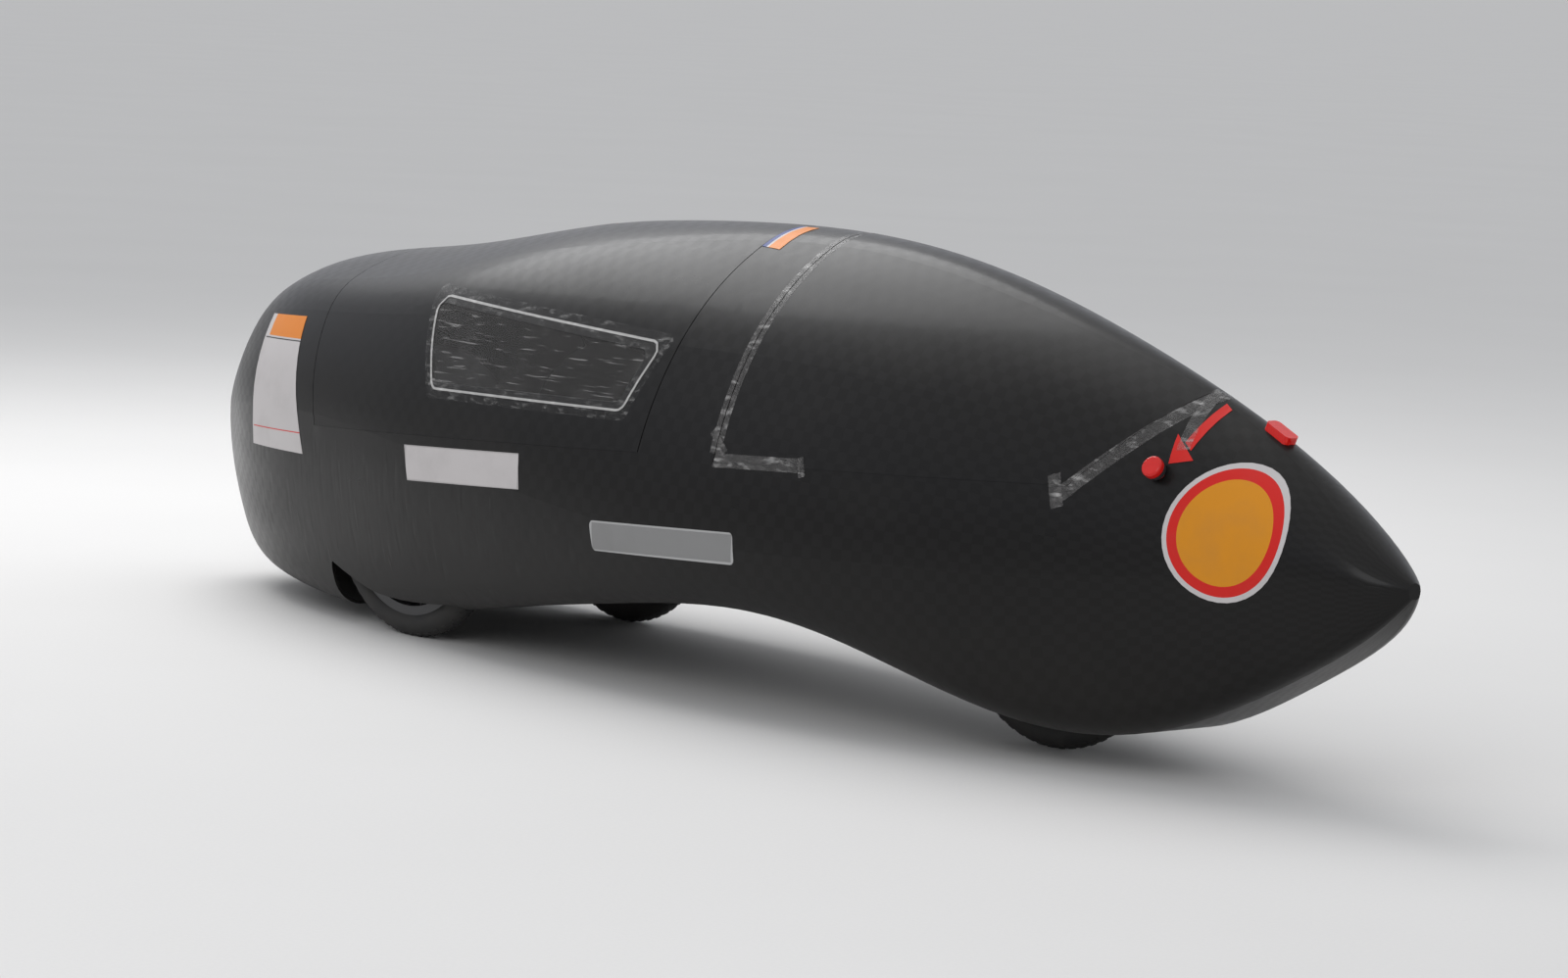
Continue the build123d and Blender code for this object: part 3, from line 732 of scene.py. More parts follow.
def outer_skin(body):
    """The outer faces of a body's shell as one object that patches are cut from."""
    def from_the_middle(face):
        centre = face.calc_center_median()
        return Vector((0, centre.y, centre.z - SHELL_MIDDLE)).normalized()

    if body not in SKINS:
        SKINS[body] = outer_faces(SKIN_NODES[body], from_the_middle)
        SKINS[body].hide_render = True
    return SKINS[body]


def skin_patch(body, outline, view="XZ", side=1, hole=None, lift=LIFT):
    """A patch of the shell's outer face inside a convex outline. The side is 1 left, -1 right, 0 both."""
    patch = added("patch", outer_skin(body).data.copy())
    edit(patch)
    planes = edge_planes(outline, view)
    if side:
        planes.append((Vector((0, side * MIDDLE_GAP, 0)), Vector((0, -side, 0))))
    if view == "XY":
        planes.append((Vector((0, 0, SHELL_MIDDLE)), Vector((0, 0, -1))))
    for point, normal in planes:
        bpy.ops.mesh.select_all(action="SELECT")
        bpy.ops.mesh.bisect(plane_co=point, plane_no=normal, clear_outer=True, threshold=MERGE)
    if hole:
        borders = edge_planes(hole, view)
        for point, normal in borders:
            bpy.ops.mesh.select_all(action="SELECT")
            bpy.ops.mesh.bisect(plane_co=point, plane_no=normal, threshold=MERGE)
        pick_and_delete(
            patch, "FACE", lambda f: all((f.calc_center_median() - point).dot(out) < 0 for point, out in borders)
        )
    bpy.ops.mesh.select_all(action="SELECT")
    bpy.ops.transform.shrink_fatten(value=lift)
    leave_all()
    if not patch.data.polygons:
        bpy.data.objects.remove(patch)
        return None
    return patch


def add_sign(name, body, outline, finish, view="XZ", side=1):
    """A sticker of the shell's own curve inside an outline."""
    patch = skin_patch(body, outline, view, side)
    if patch is None:
        raise RuntimeError(f"{name}: nothing of the shell lies inside its outline")
    thicken(patch, bpy.context.scene.sign_look.sheet)
    settle(patch, name, body, finish)


def add_pairs(signs):
    """Side view stickers on both flanks of the car, each given as its name, outline and finish."""
    for side_name, side in SIDES:
        for name, outline, finish in signs:
            add_sign(f"{name}_{side_name}", "car", outline, finish, side=side)


# Outlines in millimetres, in the side view but for the two on the roof
NUMBER_PANEL = [(966, 530), (1126, 521), (1126, 287), (899, 293)]
WHITE_PLATE = [(542, 349), (215, 369), (207, 310), (532, 289)]
GREY_PLATE = [(22, 281), (-311, 299), (-317, 248), (15, 232)]
ARROW_SHAFT = [(-1104, 565), (-1089, 573), (-1076, 516), (-1091, 505)]
ARROW_HEAD = [(-1058, 527), (-1102, 492), (-1066, 484)]
WINDOW = [(567, 592), (491, 462), (1, 474), (-29, 560)]
FILM = [(566, 606), (484, 449), (-14, 460), (-53, 576)]
ROOF_STRIP = [(-90, 22), (-90, 104), (-141, 104), (-141, 22)]
ROOF_MARK = [(408, -66), (550, -66), (550, 20), (408, 20)]

# The round sticker's centre and the radii of its rim, ring and field, in metres
ROUND_CENTRE = (-1.190, 0.395)
ROUND_RADII = (0.102, 0.094, 0.078)


class CAR_OT_finishes(bpy.types.Operator):
    """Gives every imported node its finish"""

    bl_idname = "car.finishes"
    bl_label = "Node finishes"

    TABLE = {
        "woven_shell": ["body_tub", "canopy_lid", "engine_cover"],
        "clear_film": ["windscreen", "window_left", "window_right"],
        "fibre_panel": ["firewall", "driver_seat", "wheel_arch_left", "wheel_arch_right"],
        "aluminium": ["front_axle_beam", "tie_rod", "rear_dropout_left", "rear_dropout_right", "engine_mount"],
        "steel": ["kingpin_left", "kingpin_right", "knuckle_left", "knuckle_right", "rear_axle", "steering_column"],
        "hoop_paint": ["roll_bar"],
        "rim_paint": ["front_rim_left", "front_rim_right", "rear_rim"],
        "tyre_rubber": ["front_tyre_left", "front_tyre_right", "rear_tyre"],
        "button_plastic": ["stop_button"],
        "lens_plastic": ["tail_lamp"],
        "grip_rubber": ["handlebar"],
        "foam_cloth": ["head_rest"],
        "webbing_cloth": ["seat_belts"],
        "engine_metal": ["engine_block"],
    }

    def execute(self, context):
        bare = set(NODES)
        for finish, nodes in self.TABLE.items():
            for node in nodes:
                data = NODES[node].data
                data.materials.clear()
                data.materials.append(finish_named(finish))
            bare -= set(nodes)
        if bare:
            raise RuntimeError(f"no finish for {sorted(bare)}")
        return {"FINISHED"}


class CAR_OT_signs(bpy.types.Operator):
    """Adds the blank number panels and plates on both sides"""

    bl_idname = "car.signs"
    bl_label = "Panels and plates"

    # Border colour, middle and slope in the side view, half size, border width
    WHITE_PRINT = ((0.42, 0.40, 0.40), (0.3740, 0.3292, -0.0612), (0.1640, 0.0303), 0.0022)
    GREY_PRINT = ((0.40, 0.40, 0.40), (-0.1478, 0.2650, -0.0540), (0.166, 0.0252), 0.0030)

    def execute(self, context):
        look = context.scene.sign_look
        white = bordered_vinyl("white_vinyl", look.white, *self.WHITE_PRINT)
        grey = bordered_vinyl("grey_vinyl", look.grey, *self.GREY_PRINT)
        add_pairs([
            ("number_panel", metres(NUMBER_PANEL), "number_vinyl"),
            ("white_plate", metres(WHITE_PLATE), white),
            ("grey_plate", rounded(metres(GREY_PLATE), 0.008), grey),
        ])
        return {"FINISHED"}


class CAR_OT_round_sticker(bpy.types.Operator):
    """Adds the plain round sticker on each flank of the tail"""

    bl_idname = "car.round_sticker"
    bl_label = "Round sticker"

    def execute(self, context):
        ring = [(ROUND_CENTRE[0] + x, ROUND_CENTRE[1] + z) for x, z in circle(ROUND_RADII[0], 40)]
        add_pairs([("round_sticker", ring, "round_vinyl")])
        return {"FINISHED"}


class CAR_OT_arrow(bpy.types.Operator):
    """Adds the red arrow that points at the stop button"""

    bl_idname = "car.arrow"
    bl_label = "Stop arrow"

    def execute(self, context):
        look = context.scene.sign_look
        arrow = joined([skin_patch("car", metres(outline)) for outline in (ARROW_HEAD, ARROW_SHAFT)])
        thicken(arrow, look.sheet)
        settle(arrow, "stop_arrow", "car", plain_vinyl("arrow_vinyl", look.red))
        return {"FINISHED"}


class CAR_OT_roof_signs(bpy.types.Operator):
    """Adds the striped sticker on the roof ring and the red mark on the lid"""

    bl_idname = "car.roof_signs"
    bl_label = "Roof signs"

    def execute(self, context):
        add_sign("roof_strip", "car", metres(ROOF_STRIP), "striped_vinyl", view="XY", side=1)
        add_sign("roof_mark", "lid", metres(ROOF_MARK), "edged_vinyl", view="XY", side=0)
        return {"FINISHED"}


class CAR_OT_seam_tape(bpy.types.Operator):
    """Adds the clear tape over the engine cover's seams"""

    bl_idname = "car.seam_tape"
    bl_label = "Seam tape"

    # Columns: name, start, end and width in the side view in millimetres, layer above the shell
    RUNS = [
        ("front_tape", (-240, 830), (-247, 418), 24, 1),
        ("front_tape_cross", (-230, 452), (-268, 420), 13, 2),
        ("foot_tape", (-247, 407), (-432, 417), 22, 1),
        ("foot_tape_end", (-428, 430), (-440, 400), 12, 2),
        ("rear_tape", (-1075, 587), (-908, 420), 24, 1),
        ("rear_tape_cross", (-893, 452), (-912, 404), 20, 2),
        ("arrow_tape", (-1062, 600), (-1079, 505), 20, 3),
    ]

    def execute(self, context):
        finish = clear_tape("clear_tape", context.scene.tape_look.haze, (0.34, 0.33, 0.325))
        for name, start, end, width, layer in self.RUNS:
            outline = metres(strip(start, end, width))
            for side_name, side in SIDES[:1] if name == "arrow_tape" else SIDES:
                for body in ("car", "cover"):
                    patch = skin_patch(body, outline, side=side, lift=LIFT * layer)
                    if patch:
                        thicken(patch, 0.0002)
                        settle(patch, f"{name}_{side_name}_{body}", body, finish)
        return {"FINISHED"}


class CAR_OT_window_trim(bpy.types.Operator):
    """Adds the film, the bead and the clear tape round each side window, and the bead of the front screen"""

    bl_idname = "car.window_trim"
    bl_label = "Window trim"

    SHEET, BEAD = 0.0002, 0.0009  # thicknesses
    SCREEN_TILT = math.radians(52)

    def execute(self, context):
        look = context.scene.tape_look
        grey = (0.30, 0.295, 0.29)
        tape = clear_tape("window_tape", look.haze * 0.2, grey, highlight_and_spots=0.16)
        film = clear_tape("window_film", look.haze * 0.5, grey, highlight_and_spots=0.10)
        bead = clear_tape("window_bead", 0.55, (0.62, 0.61, 0.60))
        # Each ring lies between its own outline and the one before it, and each outline has its corner radius
        opening = rounded(metres(WINDOW), 0.014)
        rings = (
            ("window_film", film, self.SHEET, rounded(grown(metres(FILM), -look.edge), 0.016)),
            ("window_bead", bead, self.BEAD, rounded(metres(FILM), 0.020)),
            ("window_tape", tape, self.SHEET, rounded(grown(metres(FILM), 0.014), 0.012)),
        )
        for side_name, side in SIDES:
            hole = opening
            for name, finish, thickness, outline in rings:
                ring = skin_patch("lid", outline, side=side, hole=hole)
                thicken(ring, thickness)
                settle(ring, f"{name}_{side_name}", "lid", finish)
                hole = outline
        self.add_screen_bead(look.edge * 1.4, bead)
        return {"FINISHED"}

    def add_screen_bead(self, width, finish):
        """A bead along the border of the front screen's outer face."""
        ahead = Vector((math.cos(self.SCREEN_TILT), 0, math.sin(self.SCREEN_TILT)))
        screen = outer_faces(["windscreen"], lambda face: ahead)
        edit(screen)
        bpy.ops.mesh.inset(thickness=width, use_boundary=True)
        bpy.ops.mesh.delete(type="FACE")
        bpy.ops.mesh.select_all(action="SELECT")
        bpy.ops.transform.shrink_fatten(value=LIFT)
        leave_all()
        thicken(screen, self.BEAD)
        settle(screen, "windscreen_bead", "car", finish)


# Belts, head rest and cabin hardware

# The seat's middle line in the side view, from its front edge to the firewall, in metres
SEAT_LINE = [(0.270, 0.126), (0.095, 0.262), (-0.104, 0.500), (-0.186, 0.500)]
SEAT_BEND = 0.030
SEAT_HALF_THICKNESS = 0.004
SHOULDERS = (0.080, -0.080)  # the middles of the two shoulder straps


def above_seat(clearance):
    """The seat's upper side in the side view, moved up by a clearance, from the lap to the firewall."""
    gap = SEAT_HALF_THICKNESS + clearance
    runs = []
    for first, second in zip(SEAT_LINE, SEAT_LINE[1:]):
        run = (Vector(second) - Vector(first)).normalized()
        shift = Vector((run.y, -run.x)) * gap
        runs.append((Vector(first) + shift, Vector(second) + shift, run))
    bends = [crossing(start, run, other, turned) for (start, _, run), (other, _, turned) in zip(runs, runs[1:])]
    corners = [runs[0][0], *bends, runs[-1][1]]
    points = [corners[0]]
    for before, corner, after in zip(corners, corners[1:], corners[2:]):
        turn = (before - corner).cross(after - corner)
        points += arc(before, corner, after, SEAT_BEND + math.copysign(gap, turn), 4)
    return points + [corners[-1]]


def strap(points, middle, width):
    """A flat strap through side view points, drawn out edge by edge."""
    leave_all()
    place = (points[0].x, middle, points[0].y)
    bpy.ops.mesh.primitive_plane_add(size=1, location=place)
    band = bpy.context.object
    edit(band)
    bpy.ops.mesh.delete(type="ONLY_FACE")
    pick_and_delete(
        band, "EDGE", lambda e: abs(e.verts[0].co.x - e.verts[1].co.x) > 0.1 or e.verts[0].co.x > 0
    )
    bpy.ops.mesh.select_all(action="SELECT")
    bpy.ops.transform.resize(value=(1, width, 1), center_override=place)
    bpy.ops.transform.translate(value=(0.5, 0, 0))
    for before, after in zip(points, points[1:]):
        step = (after.x - before.x, 0, after.y - before.y)
        bpy.ops.mesh.extrude_region_move(TRANSFORM_OT_translate={"value": step})
    leave_all()
    return band


class CAR_OT_harness(bpy.types.Operator):
    """Adds the harness webbing that stands for the plain belts"""

    bl_idname = "car.harness"
    bl_label = "Harness webbing"

    LAP_X = 0.150  # where the shoulder straps end
    LAP_WIDTH = 0.316
    LAP_RISE, LAP_OVERHANG = 0.0028, 0.002  # the lap belt lies over the strap ends and reaches past them

    def execute(self, context):
        look = context.scene.trim_look
        line = above_seat(look.belt_thickness / 2)
        run = (line[1] - line[0]).normalized()
        start = line[0] + run * ((SEAT_LINE[0][0] - self.LAP_X) / -run.x)
        straps = [strap([start] + line[1:], middle, look.belt_width) for middle in SHOULDERS]
        over = Vector((0, self.LAP_RISE))
        lap = [start - run * self.LAP_OVERHANG + over, start + run * look.belt_width + over]
        straps.append(strap(lap, 0, self.LAP_WIDTH))
        for band in straps:
            modify(band, "SOLIDIFY", thickness=look.belt_thickness, offset=0.0)
            soften(band, 0.0006)
        webbing = joined(straps)
        edit(webbing)
        bpy.ops.mesh.normals_make_consistent(inside=False)
        leave_all()
        settle(webbing, "harness_webbing", "car", "webbing_cloth")
        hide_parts("seat_belts")
        return {"FINISHED"}


class CAR_OT_buckles(bpy.types.Operator):
    """Adds the harness lock and the strap slides"""

    bl_idname = "car.buckles"
    bl_label = "Harness lock and slides"

    CLEARANCE = 0.0065  # above the seat
    LOCK_RUN = 0.175  # from the front edge up along the seat
    PLATE, DIAL = (0.031, 0.009), (0.021, 0.006)  # radius, depth
    SLIDE = (0.040, 0.056, 0.005)

    def execute(self, context):
        line = above_seat(self.CLEARANCE)
        run = (line[1] - line[0]).normalized()
        out = Vector((run.y, 0, -run.x))
        lock = line[0] + run * self.LOCK_RUN
        lock = Vector((lock.x, 0, lock.y))
        plate = disc(*self.PLATE, lock, out, 40, 0.0015)
        dial = disc(*self.DIAL, lock + out * self.PLATE[1], out, 12, 0.001)
        step_faces(dial, lambda f: f.normal.dot(out) > 0.95 and f.calc_area() > 0.0005, 0.005, out * -0.002)
        settle(joined([plate, dial]), "harness_lock", "car", "aluminium")
        slide = cube(self.SLIDE)
        step_faces(slide, lambda f: f.normal.z > 0.9, 0.006, (0, 0, -0.003))
        soften(slide, 0.0012)
        lower, upper = line[5:7]  # the straight run between the two bends
        middle = lower.lerp(upper, 0.55)
        slope = (upper - lower).normalized()
        lie = [
            Matrix((
                (slope.x, 0, slope.y, middle.x),
                (0, 1, 0, shoulder),
                (slope.y, 0, -slope.x, middle.y),
                (0, 0, 0, 1),
            ))
            for shoulder in SHOULDERS
        ]
        settle(joined(repeated(slide, lie)), "strap_slides", "car", "steel")
        return {"FINISHED"}


class CAR_OT_head_rest(bpy.types.Operator):
    """Adds the stuffed head rest, swelled by cloth pressure"""

    bl_idname = "car.head_rest"
    bl_label = "Head rest"

    SHARE = (0.86, 0.95, 0.93)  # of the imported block's size, before it swells
    VOXEL = 0.005
    PRESSURE = 4
    FRAMES = 20
    SWELL_LIMIT = 0.008

    def execute(self, context):
        low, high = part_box("head_rest")
        size, centre = high - low, (high + low) / 2
        pad = cube(size * Vector(self.SHARE), centre)

        def off_the_back(edge):
            first, second = (vertex.co.x for vertex in edge.verts)
            return min(first, second) > centre.x or abs(first - second) > 0.01

        edit(pad)
        pick(pad, "EDGE", off_the_back)
        bpy.ops.mesh.bevel(offset=0.014, segments=3, affect="EDGES")
        leave_all()
        modify(pad, "REMESH", mode="VOXEL", voxel_size=self.VOXEL)
        self.swell(context, pad)
        for vertex in pad.data.vertices:
            vertex.co.x = min(max(vertex.co.x, low.x + 0.0003), high.x + 0.004)
        modify(pad, "SMOOTH", factor=0.5, iterations=3)
        modify(pad, "SUBSURF", levels=1, render_levels=1)
        settle(pad, "head_rest_pad", "car", "foam_cloth", smooth=60)
        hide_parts("head_rest")
        return {"FINISHED"}

    def swell(self, context, pad):
        """Blows the cover up as cloth, but lets no point move past the limit."""
        take(pad)
        cloth = pad.modifiers.new("cloth", "CLOTH")
        cloth.settings.use_pressure = True
        cloth.settings.uniform_pressure_force = self.PRESSURE
        cloth.settings.effector_weights.gravity = 0
        for number in range(1, self.FRAMES + 1):
            context.scene.frame_set(number)
        shaped = pad.evaluated_get(context.evaluated_depsgraph_get())
        swelled = [vertex.co.copy() for vertex in shaped.to_mesh().vertices]
        shaped.to_mesh_clear()
        pad.modifiers.remove(cloth)
        context.scene.frame_set(1)
        for vertex, now in zip(pad.data.vertices, swelled):
            move = now - vertex.co
            if move.length > self.SWELL_LIMIT:
                move = move.normalized() * self.SWELL_LIMIT
            vertex.co = vertex.co + move


class CAR_OT_grips(bpy.types.Operator):
    """Adds ribbed sleeves on the handlebar"""

    bl_idname = "car.grips"
    bl_label = "Grip sleeves"

    BAR_MIDDLE = (0.41716, 0.0, 0.31868)
    RIB, FLANGE = (0.0158, 0.0034), (0.0185, 0.004)  # radius, depth
    RIBS, PITCH = 11, 0.006
    FLANGE_OUT, FIRST_RIB_OUT = 0.048, 0.0525  # from the middle of the bar

    def execute(self, context):
        x, y, z = self.BAR_MIDDLE
        rib = disc(*self.RIB, (x, y - self.RIB[1] / 2, z), (0, 1, 0), 24, 0.0009)
        flange = disc(*self.FLANGE, (x, y - self.FLANGE[1] / 2, z), (0, 1, 0), 28, 0.0012)
        rib_outs = [self.FIRST_RIB_OUT + number * self.PITCH for number in range(self.RIBS)]
        sleeves = []
        for side in (1, -1):
            sleeves += [copy_of(rib, moved(0, side * out, 0)) for out in rib_outs]
            sleeves.append(copy_of(flange, moved(0, side * self.FLANGE_OUT, 0)))
        for pattern in (rib, flange):
            bpy.data.objects.remove(pattern)
        settle(joined(sleeves), "grip_sleeves", "steering_bar", "grip_rubber")
        return {"FINISHED"}


def bolt_head(radius):
    """A hexagon bolt head on its washer at the origin, standing up in Z."""
    washer = disc(radius * 1.55, radius * 0.25, (0, 0, 0), sides=20, bevel=radius * 0.08)
    head = disc(radius * 1.1, radius * 0.9, (0, 0, radius * 0.25), sides=6)
    step_faces(head, lambda f: f.normal.z > 0.9, radius * 0.22, (0, 0, radius * 0.16), narrowing=0.82)
    return joined([washer, head])


class CAR_OT_bolts(bpy.types.Operator):
    """Adds the bolts on the axle feet, dropouts and engine mount"""

    bl_idname = "car.bolts"
    bl_label = "Bolts"

    # Columns: places in millimetres on the left, direction
    GROUPS = {
        "beam_bolts": [
            ((682, 112, 74), (1, 0, 0)), ((682, 88, 74), (1, 0, 0)),
            ((622, 112, 74), (-1, 0, 0)), ((622, 88, 74), (-1, 0, 0)),
        ],
        "dropout_bolts": [
            ((-580, 78, 165), (0, 0, 1)), ((-490, 78, 165), (0, 0, 1)),
            ((-560, 92, 150), (0, 1, 0)), ((-510, 92, 150), (0, 1, 0)),
        ],
        "engine_bolts": [
            ((-275, 70, 215), (1, 0, 0)), ((-275, 70, 355), (1, 0, 0)), ((-275, 25, 355), (1, 0, 0)),
        ],
    }

    def execute(self, context):
        pattern = bolt_head(context.scene.trim_look.bolt_radius)
        for name, bolts in self.GROUPS.items():
            pieces = []
            for place, direction in bolts:
                turn = Vector(direction).to_track_quat("Z", "Y").to_matrix().to_4x4()
                bolt = copy_of(pattern, Matrix.Translation(Vector(place) * MM) @ turn)
                pieces += [bolt, copy_of(bolt, MIRROR)]
            settle(joined(pieces), name, "car", "steel")
        bpy.data.objects.remove(pattern)
        return {"FINISHED"}


class CAR_OT_hoop_clamps(bpy.types.Operator):
    """Adds the saddle clamps that hold the roll hoop's feet"""

    bl_idname = "car.hoop_clamps"
    bl_label = "Hoop clamps"

    HEIGHTS = (0.205, 0.300)
    LEG_X, LEG_Y = -0.135, 0.268
    RADIUS, WALL, DEPTH = 0.0165, 0.0037, 0.022

    def execute(self, context):
        ring = disc(self.RADIUS, self.DEPTH, (self.LEG_X, self.LEG_Y, -self.DEPTH / 2), sides=36)
        edit(ring)
        pick(ring, "FACE", lambda f: abs(f.normal.z) > 0.9)
        bpy.ops.mesh.inset(thickness=self.WALL)
        bpy.ops.mesh.delete(type="FACE")
        pick(ring, "EDGE", lambda e: e.is_boundary)
        bpy.ops.mesh.bridge_edge_loops()
        bpy.ops.mesh.select_all(action="SELECT")
        bpy.ops.mesh.normals_make_consistent(inside=False)
        leave_all()
        soften(ring, 0.0008)
        places = [turn @ moved(0, 0, height) for height in self.HEIGHTS for turn in (Matrix.Identity(4), MIRROR)]
        settle(joined(repeated(ring, places)), "hoop_clamps", "car", "aluminium")
        return {"FINISHED"}


# Wheels, engine and button

# Columns: body, wheel centre, half the hub's width
WHEELS = {
    "front_left": ("left_wheel", (0.652, 0.235, 0.240), 0.026),
    "front_right": ("right_wheel", (0.652, -0.235, 0.240), 0.026),
    "rear": ("rear_wheel", (-0.733, 0.0, 0.240), 0.045),
}


class CAR_OT_tread(bpy.types.Operator):
    """Adds the fine tread blocks round each tyre"""

    bl_idname = "car.tread"
    bl_label = "Tyre tread"

    CORE_RADIUS, TUBE_RADIUS = 0.2175, 0.0225
    BLOCK = (0.0105, 0.0062, 0.003)
    TILTS = (-34, -12, 12, 34)  # rows across the tyre, in degrees
    COUNT = 60

    def execute(self, context):
        sunk = context.scene.trim_look.tread_height - self.BLOCK[2] / 2
        block = cube(self.BLOCK)
        edit(block)
        pick(block, "FACE", lambda f: f.normal.z > 0.9)
        bpy.ops.transform.resize(value=(0.86, 0.8, 1))
        pick_and_delete(block, "FACE", lambda f: f.normal.z < -0.9)
        leave_all()
        places = []
        for row, tilt in enumerate(math.radians(tilt) for tilt in self.TILTS):
            stagger = Matrix.Rotation((row % 2) * math.pi / self.COUNT, 4, "Y")
            out = self.CORE_RADIUS + self.TUBE_RADIUS * math.cos(tilt)
            place = moved(0, self.TUBE_RADIUS * math.sin(tilt), out)
            places.append(stagger @ place @ Matrix.Rotation(-tilt, 4, "X") @ moved(0, 0, sunk))
        pattern = joined(repeated(block, places))
        edit(pattern)
        bpy.ops.mesh.spin(steps=self.COUNT, dupli=True, angle=math.tau, center=(0, 0, 0), axis=(0, 1, 0))
        leave_all()
        for name, (body, place, _) in WHEELS.items():
            settle(copy_of(pattern, Matrix.Translation(place)), f"{name}_tread", body, "tyre_rubber")
        bpy.data.objects.remove(pattern)
        return {"FINISHED"}


class CAR_OT_wheel_hardware(bpy.types.Operator):
    """Adds a valve and the hub screws to each wheel"""

    bl_idname = "car.wheel_hardware"
    bl_label = "Valves and hub screws"

    RIM_RADIUS = 0.1875
    STEM, CAP, SCREW = (0.0032, 0.026), (0.0042, 0.010), (0.0032, 0.0022)  # radius, depth
    CAP_DROP = 0.019  # from the rim to the cap
    SCREW_CIRCLE = 0.024

    def execute(self, context):
        ring = circle(self.SCREW_CIRCLE, 5, 0.3)
        for name, (body, place, half_hub) in WHEELS.items():
            centre = Vector(place)
            foot = centre + Vector((0, 0, self.RIM_RADIUS))
            stem = disc(*self.STEM, foot, (0, 0, -1), 16, 0.0004)
            cap = disc(*self.CAP, foot - Vector((0, 0, self.CAP_DROP)), (0, 0, -1), 16, 0.001)
            settle(joined([stem, cap]), f"{name}_valve", body, "steel")
            screws = []
            for face in (1, -1):
                screw = disc(*self.SCREW, centre + Vector((0, face * half_hub, 0)), (0, face, 0), 10, 0.0005)
                screws += repeated(screw, [moved(x, 0, z) for x, z in ring])
            settle(joined(screws), f"{name}_hub_screws", body, "steel")
        return {"FINISHED"}


class CAR_OT_engine_detail(bpy.types.Operator):
    """Adds cooling fins and a head cover to the engine block"""

    bl_idname = "car.engine_detail"
    bl_label = "Engine detail"

    FINS, PITCH, FIRST_FIN = 9, 0.014, 0.048
    REACH, THICKNESS = 0.005, 0.004  # of a fin past the block
    COVER, PLUG, TIP = (0.044, 0.016), (0.008, 0.026), (0.0045, 0.018)  # radius, depth

    def execute(self, context):
        low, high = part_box("engine_block")
        centre = (low + high) / 2
        size = (high.x - low.x + 2 * self.REACH, high.y - low.y + 2 * self.REACH, self.THICKNESS)
        fin = cube(size, (centre.x, centre.y, low.z + self.FIRST_FIN))
        edit(fin)
        pick(fin, "EDGE", lambda e: abs(e.verts[0].co.z - e.verts[1].co.z) > 0.003)
        bpy.ops.mesh.bevel(offset=0.011, segments=3, affect="EDGES")
        leave_all()
        soften(fin, 0.0009)
        fins = repeated(fin, [moved(0, 0, number * self.PITCH) for number in range(self.FINS)])
        settle(joined(fins), "engine_fins", "car", "engine_metal")
        top = Vector((centre.x, centre.y, high.z))
        cover = disc(*self.COVER, top, sides=48, bevel=0.002)
        step_faces(cover, lambda f: f.normal.z > 0.95 and f.calc_area() > 0.001, 0.010, (0, 0, 0.012))
        plug = disc(*self.PLUG, top + Vector((0, 0, 0.028)), sides=6, bevel=0.0008)
        tip = disc(*self.TIP, top + Vector((0, 0, 0.054)), sides=16, bevel=0.0008)
        settle(joined([cover, plug, tip]), "engine_head", "car", "engine_metal")
        return {"FINISHED"}


class CAR_OT_button_collar(bpy.types.Operator):
    """Adds the dark collar under the stop button"""

    bl_idname = "car.button_collar"
    bl_label = "Button collar"

    FOOT = (-1.056, 0.118, 0.470)
    RADIUS, DEPTH, OFF_FOOT = 0.0150, 0.007, 0.003
    AZIMUTH, RISE = math.radians(100), math.radians(30)

    def execute(self, context):
        level = math.cos(self.RISE)
        out = Vector((level * math.cos(self.AZIMUTH), level * math.sin(self.AZIMUTH), math.sin(self.RISE)))
        collar = disc(self.RADIUS, self.DEPTH, Vector(self.FOOT) + out * self.OFF_FOOT, out, 40, 0.0012)
        settle(collar, "button_collar", "car", "dark_plastic")
        return {"FINISHED"}


# Stage

def aim(obj, target):
    """Turns a lamp towards a point."""
    obj.rotation_euler = (Vector(target) - obj.location).to_track_quat("-Z", "Y").to_euler()


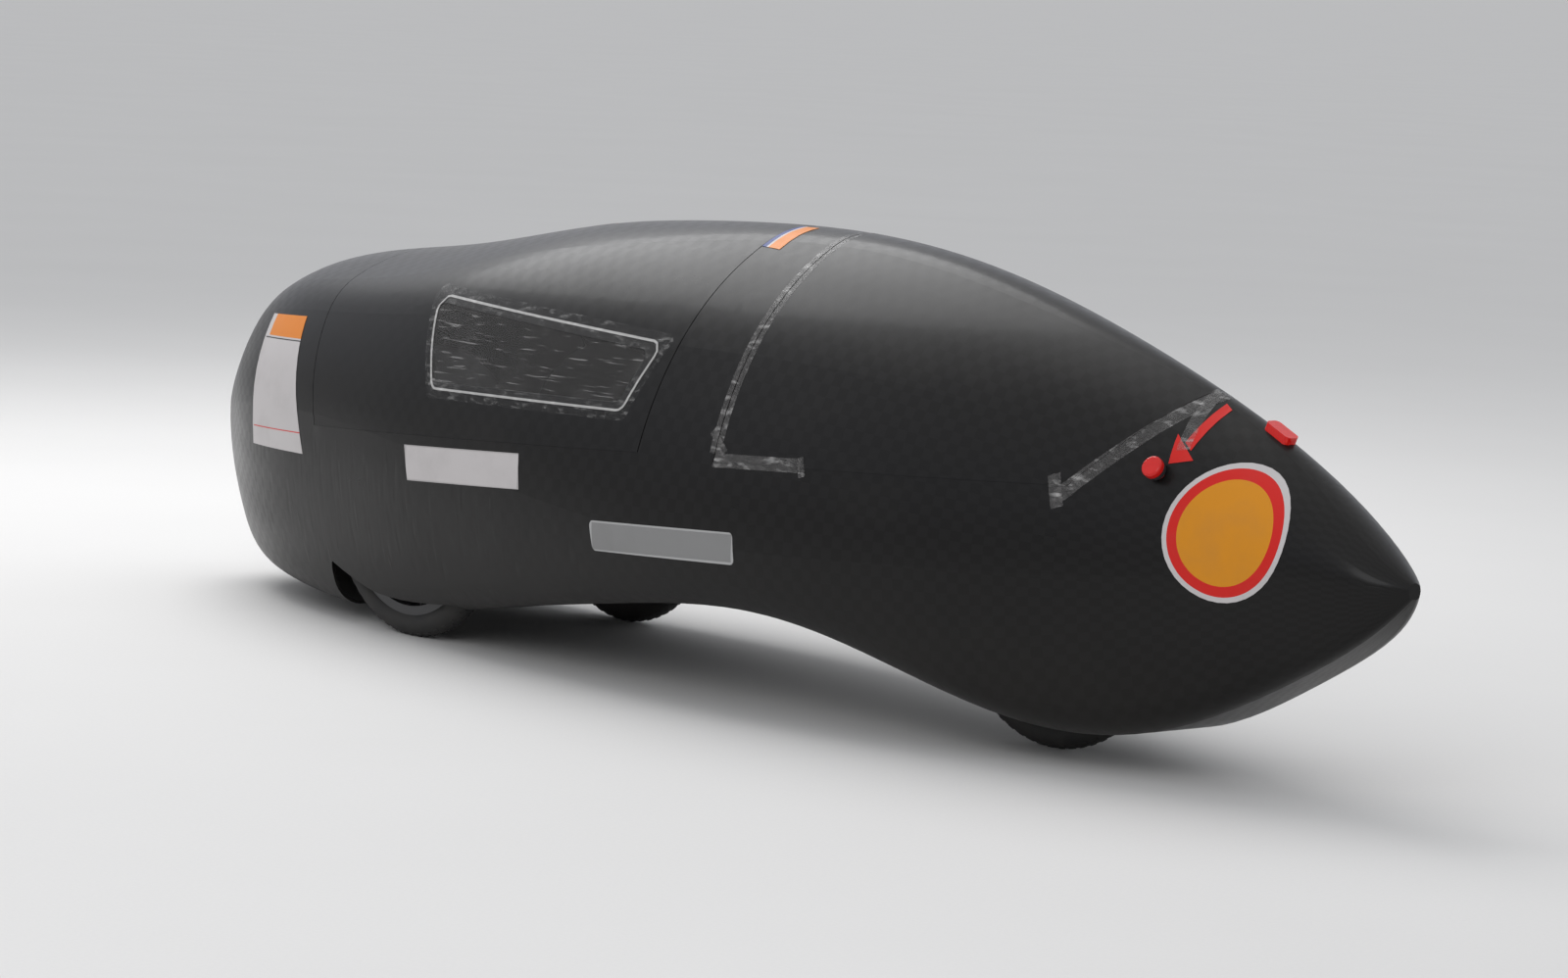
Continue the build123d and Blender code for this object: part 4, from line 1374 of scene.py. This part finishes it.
class CAR_OT_stage(bpy.types.Operator):
    """Adds the floor, the lamps, the world light and the camera"""

    bl_idname = "car.stage"
    bl_label = "Stage"

    # Columns: name, place, target, width, power
    LAMPS = [
        ("top_lamp", (3.0, -0.3, 4.2), (0, 0, 0.3), 4.0, 150),
        ("side_lamp", (-3.5, 4.6, 3.2), (0, 0, 0.35), 3.0, 60),
    ]
    SKY = [(0.02, (0.50, 0.50, 0.51)), (0.30, (0.72, 0.74, 0.80)), (1.0, (1.0, 1.0, 1.0))]
    FLOOR_RADIUS, FLOOR_RIM = 420, 405
    CAMERA_PLACE = (-6.2316, 5.1833, 1.2279)
    HEADING, ROLL = math.radians(50), math.radians(2.5)
    LENS, SENSOR = 112.5, 36
    PHOTO_WIDTH, HORIZON = 1600, 559  # in pixels, the horizon counted up from the middle
    DROP = math.atan(HORIZON * math.cos(ROLL) / (PHOTO_WIDTH * LENS / SENSOR))

    def execute(self, context):
        scene = context.scene
        leave_all()
        bpy.ops.mesh.primitive_circle_add(
            vertices=96, radius=self.FLOOR_RADIUS, fill_type="NGON", location=(0, 0, 0)
        )
        floor = context.object
        edit(floor)
        bpy.ops.mesh.inset(thickness=self.FLOOR_RIM)
        leave_all()
        floor.name = "floor"
        floor.data.materials.append(finish_named("pale_floor"))
        for name, place, target, width, power in self.LAMPS:
            data = bpy.data.lights.new(name, "AREA")
            data.shape = "DISK"
            data.size = width
            data.energy = power
            lamp = added(name, data)
            lamp.location = place
            aim(lamp, target)
        self.light_world(scene)
        self.place_camera(scene)
        scene.view_settings.view_transform = "Standard"
        return {"FINISHED"}

    def light_world(self, scene):
        """A pale gradient where the background is seen, mirrored or looked through, and even light elsewhere."""
        scene.world = bpy.data.worlds.new("pale_world")
        scene.world.use_nodes = True
        scene.world.node_tree.nodes.clear()
        world = Tree(scene.world.node_tree)
        camera_ray = world.node("ShaderNodeLightPath", {}, {}, out="Is Camera Ray")
        seen = camera_ray.larger(camera_ray.twin("Is Glossy Ray")).larger(camera_ray.twin("Is Transmission Ray"))
        where = world.node("ShaderNodeTexCoord", {}, {}, out="Generated")
        height = world.node("ShaderNodeSeparateXYZ", {}, {0: where}, out="Z")
        sky = world.node("ShaderNodeValToRGB", {"stops": self.SKY}, {0: height})
        light = world.node("ShaderNodeBackground", {}, {"Color": (0.95, 0.97, 1.0), "Strength": 0.66})
        pale = world.node("ShaderNodeBackground", {}, {"Color": sky, "Strength": 1.0})
        both = world.node("ShaderNodeMixShader", {}, {0: seen, 1: light, 2: pale})
        world.node("ShaderNodeOutputWorld", {}, {"Surface": both})

    def place_camera(self, scene):
        """The fitted camera: place, heading, drop below the level and roll."""
        camera = added("camera", bpy.data.cameras.new("camera"))
        camera.data.lens = self.LENS
        camera.data.sensor_width = self.SENSOR
        turned = Matrix.Rotation(self.HEADING + math.pi, 4, "Z")
        lowered = Matrix.Rotation(math.pi / 2 - self.DROP, 4, "X")
        rolled = Matrix.Rotation(self.ROLL, 4, "Z")
        camera.matrix_world = Matrix.Translation(self.CAMERA_PLACE) @ turned @ lowered @ rolled
        scene.camera = camera


STEPS = (
    CAR_OT_stage, CAR_OT_finishes, CAR_OT_signs, CAR_OT_round_sticker, CAR_OT_arrow, CAR_OT_roof_signs,
    CAR_OT_seam_tape, CAR_OT_window_trim, CAR_OT_harness, CAR_OT_buckles, CAR_OT_head_rest, CAR_OT_grips,
    CAR_OT_bolts, CAR_OT_hoop_clamps, CAR_OT_tread, CAR_OT_wheel_hardware, CAR_OT_engine_detail,
    CAR_OT_button_collar,
)
LOOKS = (("shell_look", ShellLook), ("sign_look", SignLook), ("tape_look", TapeLook), ("trim_look", TrimLook))


class CAR_PT_dressing(bpy.types.Panel):
    """Lists the steps and their sizes"""

    bl_idname = "CAR_PT_dressing"
    bl_label = "Economy Car"
    bl_space_type = "VIEW_3D"
    bl_region_type = "UI"
    bl_category = "Economy Car"

    def draw(self, context):
        for name, group in LOOKS:
            box = self.layout.box()
            for key in group.__annotations__:
                box.prop(getattr(context.scene, name), key)
        for step in STEPS:
            self.layout.operator(step.bl_idname)


def register():
    for name, group in LOOKS:
        bpy.utils.register_class(group)
        setattr(bpy.types.Scene, name, bpy.props.PointerProperty(type=group))
    for step in STEPS:
        bpy.utils.register_class(step)
    bpy.utils.register_class(CAR_PT_dressing)


def unregister():
    bpy.utils.unregister_class(CAR_PT_dressing)
    for step in reversed(STEPS):
        bpy.utils.unregister_class(step)
    for name, group in reversed(LOOKS):
        delattr(bpy.types.Scene, name)
        bpy.utils.unregister_class(group)


def main():
    register()
    for step in STEPS:
        family, name = step.bl_idname.split(".")
        getattr(getattr(bpy.ops, family), name)()
    for skin in SKINS.values():
        bpy.data.objects.remove(skin)


if __name__ == "__main__":
    main()
